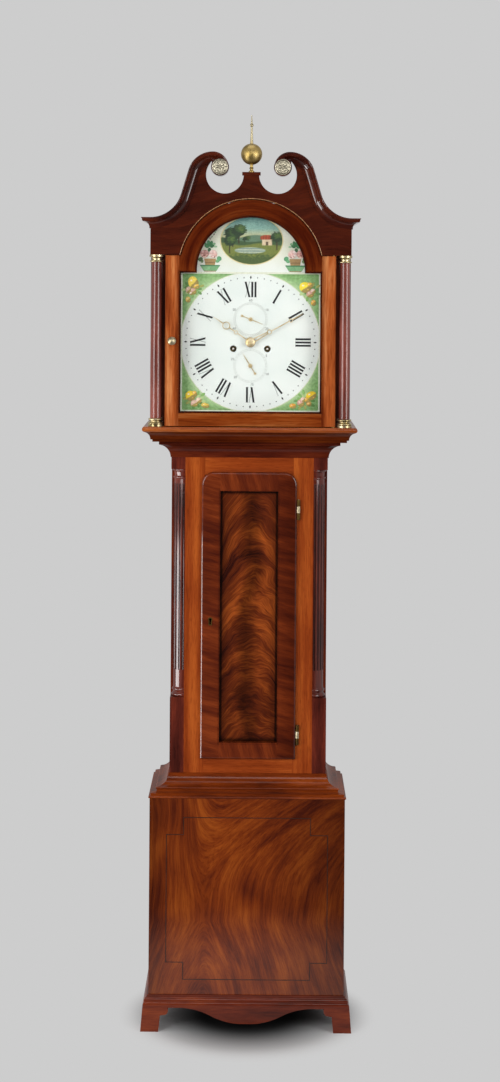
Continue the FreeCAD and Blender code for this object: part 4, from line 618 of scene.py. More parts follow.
def between(inner, outer, rise, columns):
    """A flat band from one closed outline to another, each a function of the angle that gives (x, z)."""
    angle = np.linspace(0, 2 * math.pi, columns, endpoint=False)
    return np.insert(np.stack([inner(angle), outer(angle)]), 1, dial_y - rise * layer, 2)[None]


def oval(wide, tall, x, z):
    """An oval outline about (x, z): the cosine of the angle across and its sine up."""
    return lambda angle: np.stack([x + wide * np.cos(angle), z + tall * np.sin(angle)], 1)


def square(half):
    """A square outline about the dial's centre: at each angle it reaches half over the larger of the
    angle's cosine and sine."""

    def outline(angle):
        reach = half / np.maximum(abs(np.cos(angle)), abs(np.sin(angle)))
        return np.stack([reach * np.cos(angle), centre_z + reach * np.sin(angle)], 1)

    return outline


def paint_of(*tones):
    """Tones as linear colours, one row each."""
    return np.array([hue(tone) for tone in tones])


disc_r, square_half, cream_wide, thin_in, thin_out = 0.1682, 0.1643, 0.0045, 0.0012, 0.0006
quarter = np.linspace(math.acos(square_half / disc_r), math.asin(square_half / disc_r), 90)
turns = np.stack([quarter, math.pi - quarter[::-1], math.pi + quarter, -quarter[::-1]])[:, None]
share = np.linspace(0, 1, 24)[None, :, None]
reach = square_half / np.maximum(abs(np.cos(turns)), abs(np.sin(turns)))
reach = disc_r + (reach - disc_r) * share
side, height = reach * np.cos(turns), centre_z + reach * np.sin(turns)
corner_grid = np.stack([side, np.full_like(side, dial_y - layer), height], -1)
mottle = np.sin(side * 310 + np.sin(height * 270) * 2) * np.sin(height * 290 + np.sin(side * 230) * 2)
mottle, share = mottle[..., None], share[..., None]
deep, green, pale = paint_of("#6f9f58", "#9cc884", "#c4dcac")
corner_paint = deep + (green - deep) * (0.6 + 0.4 * mottle - 0.3 * share)
corner_paint = corner_paint + (pale - corner_paint) * 0.7 * (1 - share) ** 3
lay("dial_corners", corner_grid, corner_paint)
line_in, line_out = (oval(r, r, 0.0, centre_z) for r in (disc_r - thin_in, disc_r + thin_out))
edging = [between(square(square_half), square(square_half + cream_wide), 2, 480)]
edging.append(between(line_in, line_out, 2.4, 480))
lay("dial_cream_lines", np.concatenate(edging), paint_of("#e2e6cf")[0], True)


# Hour numerals, minute marks and the small seconds and date circles: black paint drawn with a fine brush.
# The Roman numerals stand with their feet to the centre, and four is written with four strokes.
def marks(corners, turns=0.0, height=centre_z):
    """Flat four-cornered marks: each mark's corners (across, up) turned by its own angle from upright,
    clockwise, about a centre at its own height on the middle line, as whole arrays."""
    turns, height = (np.broadcast_to(value, len(corners))[:, None] for value in (turns, height))
    x = corners[..., 0] * np.cos(turns) + corners[..., 1] * np.sin(turns)
    z = height - corners[..., 0] * np.sin(turns) + corners[..., 1] * np.cos(turns)
    flat = np.stack([x, np.full_like(x, dial_y - 2 * layer), z], -1)
    return flat[:, [[0, 3], [1, 2]]]


def stroke(foot, head, half, low, high):
    """The four corners of a stroke, half wide to each side, from foot at low to head at high."""
    return [(foot - half, low), (foot + half, low), (head + half, high), (head - half, high)]


numeral_low, numeral_high, thick, hair = 0.1085, 0.1455, 0.0023, 0.0004
serif_out, serif_high = 0.0011, 0.0005
letters = {
    "I": (0.0078, [(0, 0, thick)]),
    "V": (0.0150, [(0.0005, -0.0048, thick), (0.0005, 0.0058, hair)]),
    "X": (0.0150, [(0.0048, -0.0048, thick), (-0.0048, 0.0048, hair)]),
}
numerals, turns = [], []
for hour, text in enumerate("XII I II III IIII V VI VII VIII IX X XI".split()):
    pen = -sum(letters[letter][0] for letter in text) / 2
    strokes = []
    for wide, lines in (letters[letter] for letter in text):
        pen += wide / 2
        for foot, head, half in lines:
            strokes.append(stroke(pen + foot, pen + head, half, numeral_low, numeral_high))
            for at, level in ((pen + foot, numeral_low), (pen + head, numeral_high - serif_high)):
                strokes.append(stroke(at, at, half + serif_out, level, level + serif_high))
        pen += wide / 2
    numerals += strokes
    turns += [hour * math.pi / 6] * len(strokes)
lay("hour_numerals", marks(np.array(numerals), turns), paint_of("#15181a")[0], smooth=False)

minute_r, dot_half, diamond_wide, diamond_tall = 0.1560, 0.0017, 0.0021, 0.0045
minute_turns = np.arange(60) * math.pi / 30
five = np.arange(60) % 5 == 0
dot, diamond = (
    np.array([(0, minute_r - tall), (wide, minute_r), (0, minute_r + tall), (-wide, minute_r)])
    for wide, tall in ((dot_half, dot_half), (diamond_wide, diamond_tall))
)
minute_marks = marks(np.where(five[:, None, None], diamond, dot), minute_turns)
minute_tones = np.where(five[:, None], *paint_of("#15181a", "#4a504f"))[:, None, None]
lay("minute_marks", minute_marks, minute_tones, smooth=False)

ring_in, ring_out, ring_half, figure_reach, figure_high = 0.0365, 0.0405, 0.0003, 0.0455, 0.0085
rings = []
for z in (seconds_z, date_z):
    for r in (ring_in, ring_out):
        line_in, line_out = (oval(edge_r, edge_r, 0.0, z) for edge_r in (r - ring_half, r + ring_half))
        rings.append(between(line_in, line_out, 2, 120))
lay("small_circles", np.concatenate(rings), paint_of("#c9cfc7")[0], True)
ticks = np.array([stroke(0, 0, ring_half, ring_in, ring_out)] * (60 + 31))
tick_turns = np.concatenate([minute_turns, np.arange(31) * 2 * math.pi / 31])
ticks = marks(ticks, tick_turns, np.repeat([seconds_z, date_z], (60, 31)))
lay("small_ticks", ticks, paint_of("#b0b7af")[0], smooth=False)

figure_grey, tree, shader = finish_of("thin_black_enamel")
# Small figures were written thin, so the white ground greys them.
wear = add(tree, "TexNoise", {"Vector": whole_place(tree), "Scale": 300.0, "Detail": 2.0})
colour = add(tree, "ValToRGB", (wear,), [(0.35, "#5d6462"), (0.7, "#8b918c")])
feed(shader, {"Base Color": colour, "Roughness": 0.4})
figures = [(10 * i, i * math.pi / 3, seconds_z, "seconds") for i in range(1, 7)]
figures += [(day, day * 2 * math.pi / 31, date_z, "date") for day in (5, 10, 15, 20, 25, 31)]
for number, turn, z, circle in figures:
    curve = bpy.data.curves.new("figure", "FONT")
    curve.body, curve.size, curve.align_x, curve.align_y = str(number), figure_high, "CENTER", "CENTER"
    curve.resolution_u = 3
    written = bpy.data.objects.new("figure", curve)
    bpy.context.scene.collection.objects.link(written)
    bpy.context.view_layer.update()
    mesh = bpy.data.meshes.new_from_object(written.evaluated_get(bpy.context.evaluated_depsgraph_get()))
    bpy.data.objects.remove(written)
    mesh.name = f"small_figure_{number}_{circle}"
    spot = (figure_reach * math.sin(turn), dial_y - 2 * layer, z + figure_reach * math.cos(turn))
    mesh.transform(Matrix.Translation(spot) @ Matrix.Rotation(math.pi / 2, 4, "X"))
    mesh.materials.clear()
    fit(mesh, figure_grey, "case", False)


# Corner fruit and the flower baskets of the arch: dabs of bright paint, each laid with one turn of the
# brush, light in the middle and dark at the rim. Each fruit has its shadow, its glint and a brown touch.
# Places and sizes are in millimetres from the dial's centre.
def dabs(name, rows, rise):
    """Oval dabs (x, z, half width, half height, turn in degrees, colour): each a small polar grid, a
    little domed, its colour falling from a light middle to a dark rim."""
    x0, z0, wide, tall, turn = np.array([row[:5] for row in rows]).T[..., None, None]
    colours = paint_of(*[row[5] for row in rows])[:, None, None]
    turn = np.radians(turn)
    share = np.linspace(0, 1, 5)[:, None]
    angle = np.linspace(0, 2 * math.pi, 18, endpoint=False)
    across, up = wide * share * np.cos(angle), tall * share * np.sin(angle)
    x = (x0 + across * np.cos(turn) - up * np.sin(turn)) / 1000
    z = centre_z + (z0 + across * np.sin(turn) + up * np.cos(turn)) / 1000
    over, dome, middle, rim, shade, shade_turn = 0.02, 1.5, 1.12, 0.2, 0.09, 0.8
    order = np.arange(len(rows))[:, None, None] * over
    y = dial_y - layer * (rise + order + dome * (1 - share**2)) + 0 * x
    light = middle - rim * share**2 - shade * np.cos(angle + shade_turn) * share
    lay(name, np.stack([x, y, z], -1), np.clip(colours * light[..., None] + [0, 0, 0, 1], 0, 1), True)


leaf_greens = ("#5f9048", "#86b464", "#a2a85c", "#b4cc8c", "#6c9c58")
shadow, glint, touch = "#a8944e", "#f4ead0", "#e4bc68"
leaf_turn, leaf_first, leaf_next, leaf_wide, leaf_tall = 2.4, 9, 0.9, 6.0, 3.2
clusters = []
# The leaves lie on a spiral round each cluster, flattened a little.
for x0, z0 in ((-141, 128), (142, 124), (-132, -139), (133, -139)):
    for k in range(18):
        turn, reach = leaf_turn * k + x0, leaf_first + leaf_next * k
        spot = (x0 + reach * math.cos(turn), z0 + 0.85 * reach * math.sin(turn))
        clusters.append((*spot, leaf_wide, leaf_tall, math.degrees(turn), leaf_greens[k % 5]))
fruit = [
    (-139, 143, 12, 15, 15, "#f6da58"), (-132, 134, 8, 7, 0, "#f0c452"), (-150, 125, 7, 8, 0, "#dcb8a0"),
    (-139, 122, 8, 8, 0, "#d6ae98"), (-144, 117, 4, 4, 0, "#f0e4d2"), (-151, 102, 6, 7, 10, "#e8c866"),
    (131, 133, 14, 13, -15, "#f6de3e"), (142, 138, 7, 7, 0, "#ecbc4c"), (143, 117, 9, 8, 0, "#d8a894"),
    (150, 124, 6, 6, 0, "#eacbb8"), (151, 96, 6, 7, -10, "#ecb850"), (-144, -130, 12, 12, 0, "#f2d236"),
    (-134, -125, 6, 7, 20, "#eebe52"), (-134, -148, 9, 8, 0, "#dcb6a2"), (-124, -141, 7, 7, 0, "#e6cbb6"),
    (-108, -153, 10, 6, -12, "#e2c456"), (147, -128, 13, 10, 28, "#f0cc28"), (137, -138, 7, 7, 0, "#e8b444"),
    (142, -148, 6, 5, 0, "#dca850"), (122, -146, 9, 8, -40, "#d8a898"), (127, -138, 6, 6, 0, "#e8c8b8"),
    (103, -153, 8, 6, 0, "#e8a840"),
]
for x, z, wide, tall, turn, tone in fruit:
    clusters.append((x + 0.5, z - 0.7, wide, tall, turn, shadow))
    clusters.append((x, z, wide, tall, turn, tone))
    clusters.append((x - 0.3 * wide, z + 0.3 * tall, 0.4 * wide, 0.3 * tall, turn, glint))
    clusters.append((x + 0.45 * wide, z - 0.4 * tall, 0.22 * wide, 0.2 * tall, turn, touch))
dabs("corner_fruit", clusters, 3)

dish = [
    ((-15.5, -37), (15.5, -37), (23, -25), (-23, -25), "#8cc08a"),
    ((-3, -37), (15.5, -37), (23, -25), (2, -25), "#7ab07c"),
    ((-23.5, -25.5), (23.5, -25.5), (24.5, -22.5), (-24.5, -22.5), "#4a8a5a"),
    ((-14, -38.5), (14, -38.5), (15, -36.5), (-15, -36.5), "#a3885a"),
    ((-11.5, -22.5), (11.5, -22.5), (14.5, -7), (-14.5, -7), "#b39160"),
    ((-12.3, -18), (12.3, -18), (12.8, -15.5), (-12.8, -15.5), "#93744a"),
]
posy = [
    (-23, -9, 6, 5, 40, "#4f6b45"), (22, -7, 6, 5.5, 140, "#5fa06f"), (18, -13, 5, 4, 20, "#6fae7c"),
    (-19, -14, 4, 3, 60, "#6b8a58"), (-2, 27, 7, 5.5, 20, "#3f8050"), (-8, 23, 6, 4.5, 150, "#4a8a58"),
    (5, 24, 6, 4.5, 40, "#3a7548"), (-4, 32, 5, 4, 100, "#4f9060"), (3, 31, 5, 3.5, 70, "#3f8050"),
    (9, 28, 4.5, 3, 20, "#7fae80"), (13, 22, 4, 2.5, 0, "#9cc29a"), (-12, 29, 4, 3, 140, "#5a9466"),
    (-2, 14, 5, 4, 80, "#44704a"), (-13.5, 4.5, 10.5, 9.5, 0, "#c58f86"), (-17, 9, 5, 4, 30, "#e0b8ae"),
    (-9, 9, 4, 3.5, 0, "#d9a79c"), (-14, 1, 4, 4.5, 0, "#8a4a40"), (7, 4, 10.5, 10, 0, "#eac6bd"),
    (3, 9, 5, 4, 20, "#f4ded7"), (11, 8, 4.5, 4, 0, "#f0d2c8"), (-19, 2, 4, 3.5, 30, "#e8c4b8"),
    (-8.5, 2, 4, 3.5, -20, "#dcae9f"), (-13, -2.5, 5, 3, 0, "#e6bfae"), (-13, 6, 3, 3, 0, "#b06a60"),
    (1.5, 1, 4.5, 3.5, 20, "#f6e4da"), (12.5, 2, 4.5, 4, 0, "#e4b4a6"), (7, -2.5, 5, 3, 0, "#f2d8cc"),
    (7, 5, 3, 3, 0, "#cc8478"), (10, -3, 1.8, 2.2, 0, "#a03a3a"), (4, -1, 1.4, 1.4, 0, "#b85a52"),
    (4, 45, 3, 1.6, 50, "#8f9a84"), (9, 51, 3, 1.8, 40, "#a08f86"), (15, 62, 3, 1.8, 60, "#9a8f86"),
    (21, 69, 3, 1.6, 20, "#9fae94"), (12, 57, 2.5, 1.5, 100, "#8aa684"), (0, 41, 3, 2, 120, "#a9a193"),
]
basket_up = 208
quads, tones, petals = [], [], []
for x0, side in ((-98.5, 1), (107, -1)):
    for *corners, tone in dish:
        quads.append([(x0 + side * across, basket_up + up) for across, up in corners])
        tones.append(tone)
    for across, up, wide, tall, turn, tone in posy:
        petals.append((x0 + side * across, basket_up + up, wide, tall, side * turn, tone))
quads = marks(np.array(quads) / 1000)
quads[..., 1] -= 0.1 * layer * np.arange(len(quads))[:, None, None]
lay("arch_baskets", quads, paint_of(*tones)[:, None, None], smooth=False)
dabs("arch_flowers", petals, 4)

# Oval picture of the arch: a small painted landscape of no particular place inside a cream line, with
# a pond, low hills, a stand of trees and a barn with a red roof. It is painted from the sky forwards,
# and u and v run from -1 to 1 across and up the oval.
oval_x, oval_z, oval_wide, oval_tall, cream_line = 0.0015, centre_z + 0.245, 0.074, 0.0570, 0.0024
share, angle = np.meshgrid(
    np.linspace(0, 1, 90), np.linspace(0, 2 * math.pi, 200, endpoint=False), indexing="ij"
)
u, v = share * np.cos(angle), share * np.sin(angle)


def blend(under, over, cover):
    """Paint laid over paint: cover is 0 where the under tone stays and 1 where it is hidden."""
    return under + (over - under) * np.clip(cover, 0, 1)[..., None]


def edge(value, soft):
    """From 0 to 1 as value passes zero, over a width of soft."""
    return np.clip(value / soft + 0.5, 0, 1)


def inside(low, high, left, right):
    """1 within an upright rectangle of the picture, with a soft edge."""
    return edge(np.minimum(np.minimum(v - low, high - v), np.minimum(u - left, right - u)), 0.02)


ripple = np.sin(23 * u + 3 * np.sin(17 * v)) * np.sin(29 * v + 2 * np.sin(13 * u))
glow, haze, blue = paint_of("#d3c486", "#86aea0", "#5a8782")
picture = blend(glow, haze, edge(v - 0.25, 0.5))
picture = blend(picture, blue, edge(v - 0.75 + 0.15 * ripple, 0.5))
far_hill, near_hill, bank, meadow, water, gleam = paint_of(
    "#5f7c62", "#3f5a36", "#4c6030", "#75803a", "#74908a", "#b9c2a6"
)
picture = blend(picture, far_hill, edge(0.16 + 0.08 * np.sin(4 * u + 1) - v, 0.04))
picture = blend(picture, near_hill, edge(0.04 + 0.10 * np.sin(3 * u - 1.5) - v, 0.04))
picture = blend(picture, meadow, edge(-0.16 + 0.05 * np.sin(5 * u) - v, 0.05))
pond = edge(1 - ((u + 0.05) / 0.5) ** 2 - ((v + 0.42) / 0.13) ** 2, 0.2)
picture = blend(picture, blend(water, gleam, 0.5 + 0.5 * np.sin(60 * v)), pond)
picture = blend(picture, bank, edge(-0.62 + 0.1 * ripple - v, 0.1))
wall, tile, tile_dark, doorway = paint_of("#d8c3a0", "#b0522f", "#8c3a22", "#5b4632")
picture = blend(picture, wall, inside(-0.2, 0.05, 0.34, 0.66))
picture = blend(picture, doorway, inside(-0.2, -0.04, 0.46, 0.54))
roof = edge(np.minimum(v - 0.04, 0.24 - v - 0.55 * np.maximum(abs(u - 0.5) - 0.1, 0)), 0.03)
tiles = blend(tile, tile_dark, 0.5 + 0.5 * np.sin(70 * u))
picture = blend(picture, tiles, roof * (abs(u - 0.5) < 0.22))
shaded, leafy, sunlit, bark = paint_of("#243a22", "#3d5a2c", "#5c7536", "#3f2c1a")
for tree_u, tree_v, size in (
    (-0.62, 0.28, 0.27), (-0.42, 0.42, 0.24), (-0.72, 0.0, 0.2), (0.82, 0.15, 0.2), (-0.2, 0.08, 0.1)
):
    away = np.hypot(u - tree_u, (v - tree_v) * 0.9)
    lit = np.hypot(u - tree_u - 0.06, v - tree_v - 0.06)
    trunk = inside(tree_v - 0.55, tree_v, tree_u - 0.02, tree_u + 0.02)
    picture = blend(picture, bark, trunk * (size > 0.15))
    picture = blend(picture, shaded, edge(size + 0.04 * ripple - away, 0.03))
    picture = blend(picture, leafy, edge(0.7 * size + 0.05 * ripple - lit, 0.06))
    picture = blend(picture, sunlit, 0.8 * edge(0.3 * size + 0.08 * ripple - lit, 0.08))
ground = [oval_x + oval_wide * u, np.full_like(u, dial_y - 3 * layer), oval_z + oval_tall * v]
lay("arch_landscape", np.stack(ground, -1)[None], picture, True)
line_in, line_out = (
    oval(oval_wide + grown, oval_tall + grown, oval_x, oval_z) for grown in (0, cream_line)
)
lay("arch_oval_line", between(line_in, line_out, 3, 200), paint_of("#dfd29a")[0], True)

# Hands: brass sheet, pierced, filed and gilt, and pressed on their pipes and arbors.
# The centre wheel has the same pale brass, because its arbor's end shows in the middle of the hands.
gilt_brass = worn_metal("gilt_brass", ("#c4ac78", "#dcc89c", "#efe2c4"), 0.42)
put_on(gilt_brass, "hour_hand", "minute_hand", "seconds_hand", "date_hand", "centre_wheel")

# Ends of the two winding arbors: steel, filed bright and rounded where the key slips over them.
# They show pale in the dark winding holes.
key_steel = worn_metal("key_worn_steel", ("#c4c0b8", "#dad6ce", "#efece6"), 0.5)
arbor_r = 0.0027
share = np.array([0.0, 0.5, 0.85, 1.0, 0.0])[:, None]
proud = np.array([0.0016, 0.0014, 0.0009, 0.0, 0.0])[:, None]
angle = np.linspace(0, 2 * math.pi, 24, endpoint=False)
for barrel in ("going_barrel", "strike_barrel"):
    low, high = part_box(barrel)
    x = (low.x + high.x) / 2 + arbor_r * share * np.cos(angle)
    z = (low.z + high.z) / 2 + arbor_r * share * np.sin(angle)
    dome = np.stack([x, low.y - proud + 0 * x, z], -1)[None]
    fit(surface(barrel + "_arbor_end", dome, True, closed=True), key_steel, barrel)


# Hood: the moulded base frame, dial mask, columns and pediment, of mahogany veneered or solid.
# The front is darker than the trunk, and the mouldings take the light on their rounds.
def nosing(tree):
    """The rounded upper edge is left bright, and the mouldings under it are darkened with painted shade."""
    deck, bright_down, dark_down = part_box("hood_base_frame")[1].z, 0.010, 0.014
    lower = add(tree, "MapRange", (place_on(tree)["Z"], deck - bright_down, deck - dark_down))
    return add(tree, "ValToRGB", (lower,), [(0.0, full), (1.0, (0.31, 0.22, 0.14, 1))])


hood_base_wood = mahogany(
    "hood_base_mahogany", ("#62260c", "#823e18", "#9c5424"), mitred, 0.004, 0.02, 0.9,
    shade=nosing, polish=0.5,
)
put_on(hood_base_wood, "hood_base_frame")
put_on(mahogany("mask_mahogany", ("#341209", "#4f1d0f", "#682b14"), upright), "dial_mask")
# The columns' tones are lightened and greyed with painted sheen, the broad pale reflection that runs along
# them.
hood_column_wood = mahogany(
    "hood_column_mahogany", ("#4a1c16", "#6c342a", "#86483c"), upright, 0.004, 0.014, 1.0, 14.0,
    satin=0.18, polish=1.0,
)
put_on(hood_column_wood, "hood_columns")


def waved(tree):
    """Grain along the board that dips and rises about 12 mm over each quarter metre."""
    waves, dip = 24.0, 0.012
    x, y, z = place_on(tree)
    swing = add(tree, "Math", (x, waves), operation="MULTIPLY")
    swing = add(tree, "Math", (swing,), operation="SINE")
    across = add(tree, "Math", (swing, dip, z), operation="MULTIPLY_ADD")
    return add(tree, "CombineXYZ", (x, across, y))


pediment_veneer = mahogany("pediment_mahogany", ("#2c0d06", "#3e150a", "#511e0d"), waved, 0.004, 0.018, 0.8)
put_on(pediment_veneer, "pediment_board")
neck_wood = mahogany("swan_neck_mahogany", ("#270b06", "#38120a", "#4c1c0d"), waved, 0.004, 0.02, 0.9)
put_on(neck_wood, "swan_neck_mouldings")

# Bead of the pediment's arch: a fine round of boxwood bent into the edge of the arch and glued.
# It stops at the lower edge of the frieze on each side, and shows as a thin pale line.
boxwood, tree, shader = finish_of("boxwood_bead")
fine = add(tree, "TexNoise", {"Vector": whole_place(tree), "Scale": 160.0, "Detail": 3.0})
colour = add(tree, "ValToRGB", (fine,), [(0.35, "#7c4e2e"), (0.65, "#aa7c50")])
feed(shader, {"Base Color": colour, "Roughness": 0.4})
dome_z, dome_r = centre_z + 0.170, 0.173
bead_r, bead_out, bead_back = 0.0009, 0.0012, 0.004
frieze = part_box("pediment_board")[0]
spring = math.asin((frieze.z - dome_z) / dome_r)
sweep = np.linspace(math.pi - spring, spring, 97)
reach = dome_r + bead_out
bead = [reach * np.cos(sweep), 0 * sweep + frieze.y + bead_back, dome_z + reach * np.sin(sweep)]
bead = tube(np.stack(bead, 1), bead_r, 10)
fit(surface("arch_bead", bead, True, closed=True), boxwood, "hood")

# Rosettes of the swan necks: stamped sheet brass, silvered by wear: an eight-petalled flower with a
# beaded heart inside a raised rim, pinned to the end of each neck.
silvered, tree, shader = finish_of("worn_silvered_brass")
# High places rubbed pale, hollows left dark with old polish and dirt.
worn = add(tree, "VertexColor", layer_name="paint")
speck = add(tree, "TexNoise", {"Vector": whole_place(tree), "Scale": 300.0, "Detail": 2.0})
rub = add(tree, "MapRange", (speck, 0.3, 0.7, 0.7, 1.1))
colour = add(tree, "Mix", (1.0, worn, rub), **multiply)
feed(shader, {"Base Color": colour, "Metallic": 0.7, "Roughness": 0.35})
seat_low, seat_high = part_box("rosettes")
rosette_r, rosette_z = (seat_high.z - seat_low.z) / 2, (seat_high.z + seat_low.z) / 2
spin = np.linspace(0, 2 * math.pi, 128, endpoint=False)
reach = np.linspace(0, 1, 44)[:, None]
# Each ring of the relief is a bell curve of the reach, its height in millimetres waved round the flower.
rise = 0
for at, wide, high, low_share, wave in (
    (0.42, 0.2, 1.4, 0.25, np.abs(np.cos(4 * spin)) ** 0.7),
    (0.70, 0.10, 1.3, 0.25, np.abs(np.sin(4 * spin)) ** 0.7),
    (0.0, 0.16, 1.5, 0.8, np.cos(6 * spin)),
    (0.92, 0.05, 1.6, 0.85, np.cos(40 * spin)),
):
    rise = rise + high * np.exp(-(((reach - at) / wide) ** 2)) * (low_share + (1 - low_share) * wave)
rubbed_at, sheet_up = 1.3, 0.9
worn_paint = blend(*paint_of("#2c2418", "#c4bca4"), rise / rubbed_at)
rise = (sheet_up + rise) * np.where(reach < 1, 1.0, 0.0) / 1000
sheets = []
for x in (seat_low.x + rosette_r, seat_high.x - rosette_r):
    across, up = rosette_r * reach * np.cos(spin), rosette_r * reach * np.sin(spin)
    sheets.append(np.stack(np.broadcast_arrays(x + across, seat_high.y - rise, rosette_z + up), -1))
rosette = fit(surface("stamped_rosettes", np.stack(sheets), True, worn_paint), silvered, "hood")
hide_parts("rosettes")

# Hood door: straight-grained stiles and rail, and an arch veneered crosswise, so that its grain
# fans out from the arch's centre. Behind it old crown glass, nearly clear.
door_stile, arch_middle = 0.171, 0.15


def fanned(tree):
    """Up the stiles, along the rail, and outwards from the arch's centre above the shoulders."""
    x, y, z = place_on(tree)
    rise = add(tree, "Math", (z, dome_z), operation="SUBTRACT")
    radius = add(tree, "VectorMath", (add(tree, "CombineXYZ", (x, 0.0, rise)),), operation="LENGTH")
    turn = add(tree, "Math", (x, rise), operation="ARCTAN2")
    arc = add(tree, "Math", (turn, arch_middle), operation="MULTIPLY")
    above = add(tree, "Math", (rise, 0.0), operation="GREATER_THAN")
    above = add(tree, "Math", (above, beyond(tree, door_stile)), operation="SUBTRACT", use_clamp=True)
    along, across = members(tree, door_stile)
    along = add(tree, "Mix", (above, along, arc), data_type="FLOAT")
    across = add(tree, "Mix", (above, across, radius), data_type="FLOAT")
    return add(tree, "CombineXYZ", (along, across, y))


def arch_veneer(tree):
    """The rail is darker than the middle of the stiles, and the stiles darker at their outer edges. Painted
    shade darkens the arch under the pediment and the stiles' inner bevel.
    """
    rail, inner, stile, outer = (0.57, 0.46, 0.3, 1), (0.6, 0.52, 0.5, 1), full, (0.5, 0.45, 0.45, 1)
    arch_below, arch_over, bevel_in, bevel_out = 0.03, 0.02, 0.16, 0.21
    above = add(tree, "MapRange", (place_on(tree)["Z"], dome_z - arch_below, dome_z + arch_over))
    above = add(tree, "Math", (above, beyond(tree, door_stile)), operation="SUBTRACT", use_clamp=True)
    # Painted shade over the arch, under the pediment.
    darker = add(tree, "ValToRGB", (above,), [(0.0, full), (1.0, (0.5, 0.38, 0.32, 1))])
    place = add(tree, "MapRange", (aside(tree), bevel_in, bevel_out))
    # The inner stop is painted shade on the stiles' inner bevel.
    stops = [(0.16, rail), (0.3, inner), (0.45, stile), (0.78, stile), (0.92, outer)]
    levels = add(tree, "ValToRGB", (place,), stops)
    return add(tree, "Mix", (1.0, darker, levels), **multiply)


hood_door_wood = mahogany(
    "hood_door_mahogany", ("#742f10", "#a05124", "#be7846"), fanned, 0.004, 0.016, 1.2, 14.0, arch_veneer
)
put_on(hood_door_wood, "hood_door_frame")
crown_glass, tree, shader = finish_of("crown_glass")
# Blown glass: clear, faintly green, and slightly uneven, so reflections waver.
uneven = add(tree, "TexNoise", {"Vector": whole_place(tree), "Scale": 12.0, "Detail": 1.0})
waver = add(tree, "Bump", {"Strength": 0.05, "Distance": 0.002, "Height": uneven})
feed(shader, {"Base Color": hue("#2c332f"), "Normal": waver, "Roughness": 0.03, "Alpha": 0.04})
put_on(crown_glass, "hood_door_glass")

# The studio: a pale floor that runs into a pale backdrop, soft lamps at both sides, in front and
# overhead, and a large screen low on the left. The room behind the camera is dim, so that polished
# fronts stay deep.
background = hue("#cdcdcd")
world = bpy.data.worlds.new("studio")
bpy.context.scene.world = world
world.use_nodes = True
tree = world.node_tree
ray = add(tree, "LightPath").outputs
heading = add(tree, "SeparateXYZ", (add(tree, "NewGeometry").outputs["Incoming"],)).outputs
behind = add(tree, "MapRange", (heading["Y"], -0.2, -0.7))
sideways = add(tree, "Math", (heading["X"],), operation="ABSOLUTE")
sideways = add(tree, "MapRange", (sideways, 0.3, 0.7))
walls = add(tree, "Math", (behind, sideways), operation="MAXIMUM")
room = add(tree, "Mix", (walls, hue("#404040"), background), data_type="RGBA")
shown = add(tree, "Mix", (ray["Is Glossy Ray"], background, room), data_type="RGBA")
seen = add(tree, "Math", (ray["Is Camera Ray"], ray["Is Glossy Ray"]), operation="MAXIMUM")
seen = add(tree, "Math", (seen, ray["Is Transmission Ray"]), operation="MAXIMUM")
plain = add(tree, "Background", {"Color": shown, "Strength": 1.0})
soft = add(tree, "Background", {"Color": full, "Strength": 0.25})
feed(tree.nodes["World Output"], {"Surface": add(tree, "MixShader", (seen, soft, plain))})

reach = np.linspace(0, 1.3, 40)[:, None]
spin = np.linspace(0, 2 * math.pi, 96, endpoint=False)
floor_grid = np.stack(np.broadcast_arrays(reach * np.cos(spin), -reach * np.sin(spin), 0 * reach), -1)
floor_paper, tree, shader = finish_of("studio_paper")
far = add(tree, "VectorMath", (whole_place(tree),), operation="LENGTH")
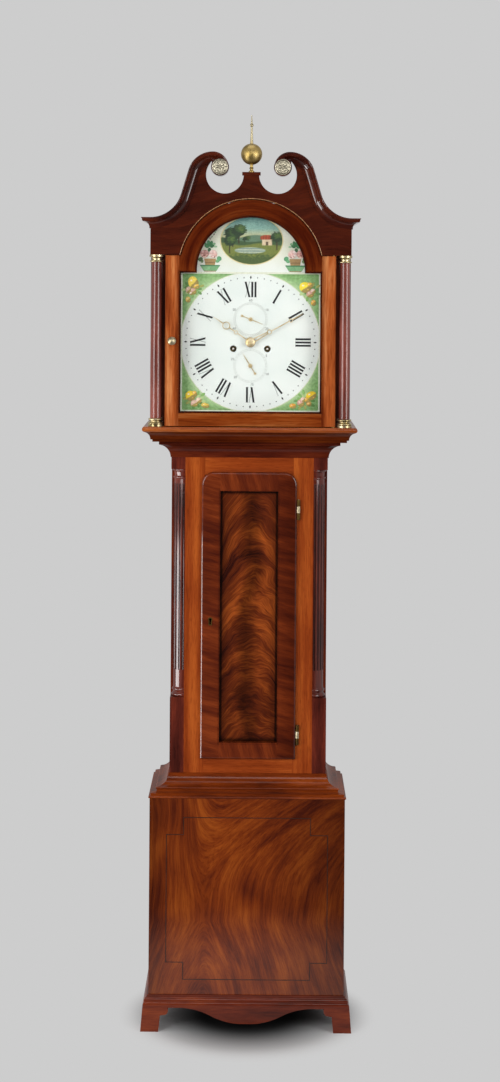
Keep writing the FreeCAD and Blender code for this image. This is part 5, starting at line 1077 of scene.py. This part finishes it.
# Close to the plinth the paper is painted grey, a painted shadow that makes the clock's soft shadow as deep as
# a studio's.
depth, fade, gone = (
    add(tree, "MapRange", (far, near, end), interpolation_type="SMOOTHSTEP")
    for near, end in ((0.1, 0.31), (0.22, 0.32), (0.55, 1.1))
)
grey = add(tree, "ValToRGB", (depth,), [(0.0, "#242424"), (1.0, background)])
feed(shader, {"Base Color": grey, "Roughness": 0.9, "Specular IOR Level": 0.0})
backdrop = add(tree, "Emission", {"Color": background, "Strength": 1.0})
mixed = add(tree, "MixShader", (fade, shader, backdrop))
mixed = add(tree, "MixShader", (gone, mixed, add(tree, "BsdfTransparent")))
feed(tree.nodes["Material Output"], {"Surface": mixed})
mesh = surface("studio_floor", floor_grid[None], True)
mesh.materials.append(floor_paper)
floor = bpy.data.objects.new("studio_floor", mesh)
bpy.context.scene.collection.objects.link(floor)

for name, place, aim, size, power in (
    ("left_softbox", (-2.2, -2.6, 1.95), (0, 0, 1.3), (1.5, 2.0), 70.0),
    ("right_softbox", (2.5, -2.35, 1.95), (0, 0, 1.3), (1.3, 2.0), 62.0),
    ("left_screen", (-2.6, -0.7, 0.42), (0, 0, 0.6), (1.8, 0.85), 60.0),
    ("front_softbox", (0.3, -4.6, 3.2), (0, 0, 1.0), (2.4, 1.4), 38.0),
    ("top_softbox", (0, -0.4, 4.2), (0, 0, 0), (2.0, 2.0), 20.0),
):
    lamp = bpy.data.lights.new(name, "AREA")
    lamp.shape = "RECTANGLE"
    lamp.size, lamp.size_y = size
    lamp.energy = power
    stand = bpy.data.objects.new(name, lamp)
    stand.location = place
    stand.rotation_euler = (Vector(aim) - Vector(place)).to_track_quat("-Z", "Y").to_euler()
    bpy.context.scene.collection.objects.link(stand)

# The camera stands 4.8 m in front at the height of the hood, very nearly level and square on.
# Its lens and shift come from the photograph's height and the focal length, both in pixels.
photo_high, focal, shift, sensor = 1082, 1975, 246.7, 36
turn, tip, lean, eye_place = 0.006, -0.0037, 0.0068, (0.0268, -4.83, 1.78)
eye = bpy.data.objects.new("camera", bpy.data.cameras.new("camera"))
bpy.context.scene.collection.objects.link(eye)
level_right = Vector((math.cos(turn), math.sin(turn), 0))
level_ahead = Vector((-math.sin(turn), math.cos(turn), 0))
ahead = level_ahead * math.cos(tip) + Vector((0, 0, math.sin(tip)))
above = Vector((0, 0, math.cos(tip))) - level_ahead * math.sin(tip)
right = level_right * math.cos(lean) + above * math.sin(lean)
above = above * math.cos(lean) - level_right * math.sin(lean)
view = Matrix((right, above, -ahead)).transposed().to_4x4()
view.translation = eye_place
eye.matrix_world = view
eye.data.sensor_width = sensor
eye.data.lens = sensor * focal / photo_high
eye.data.shift_y = -shift / photo_high
bpy.context.scene.camera = eye
bpy.context.scene.view_settings.view_transform = "Standard"
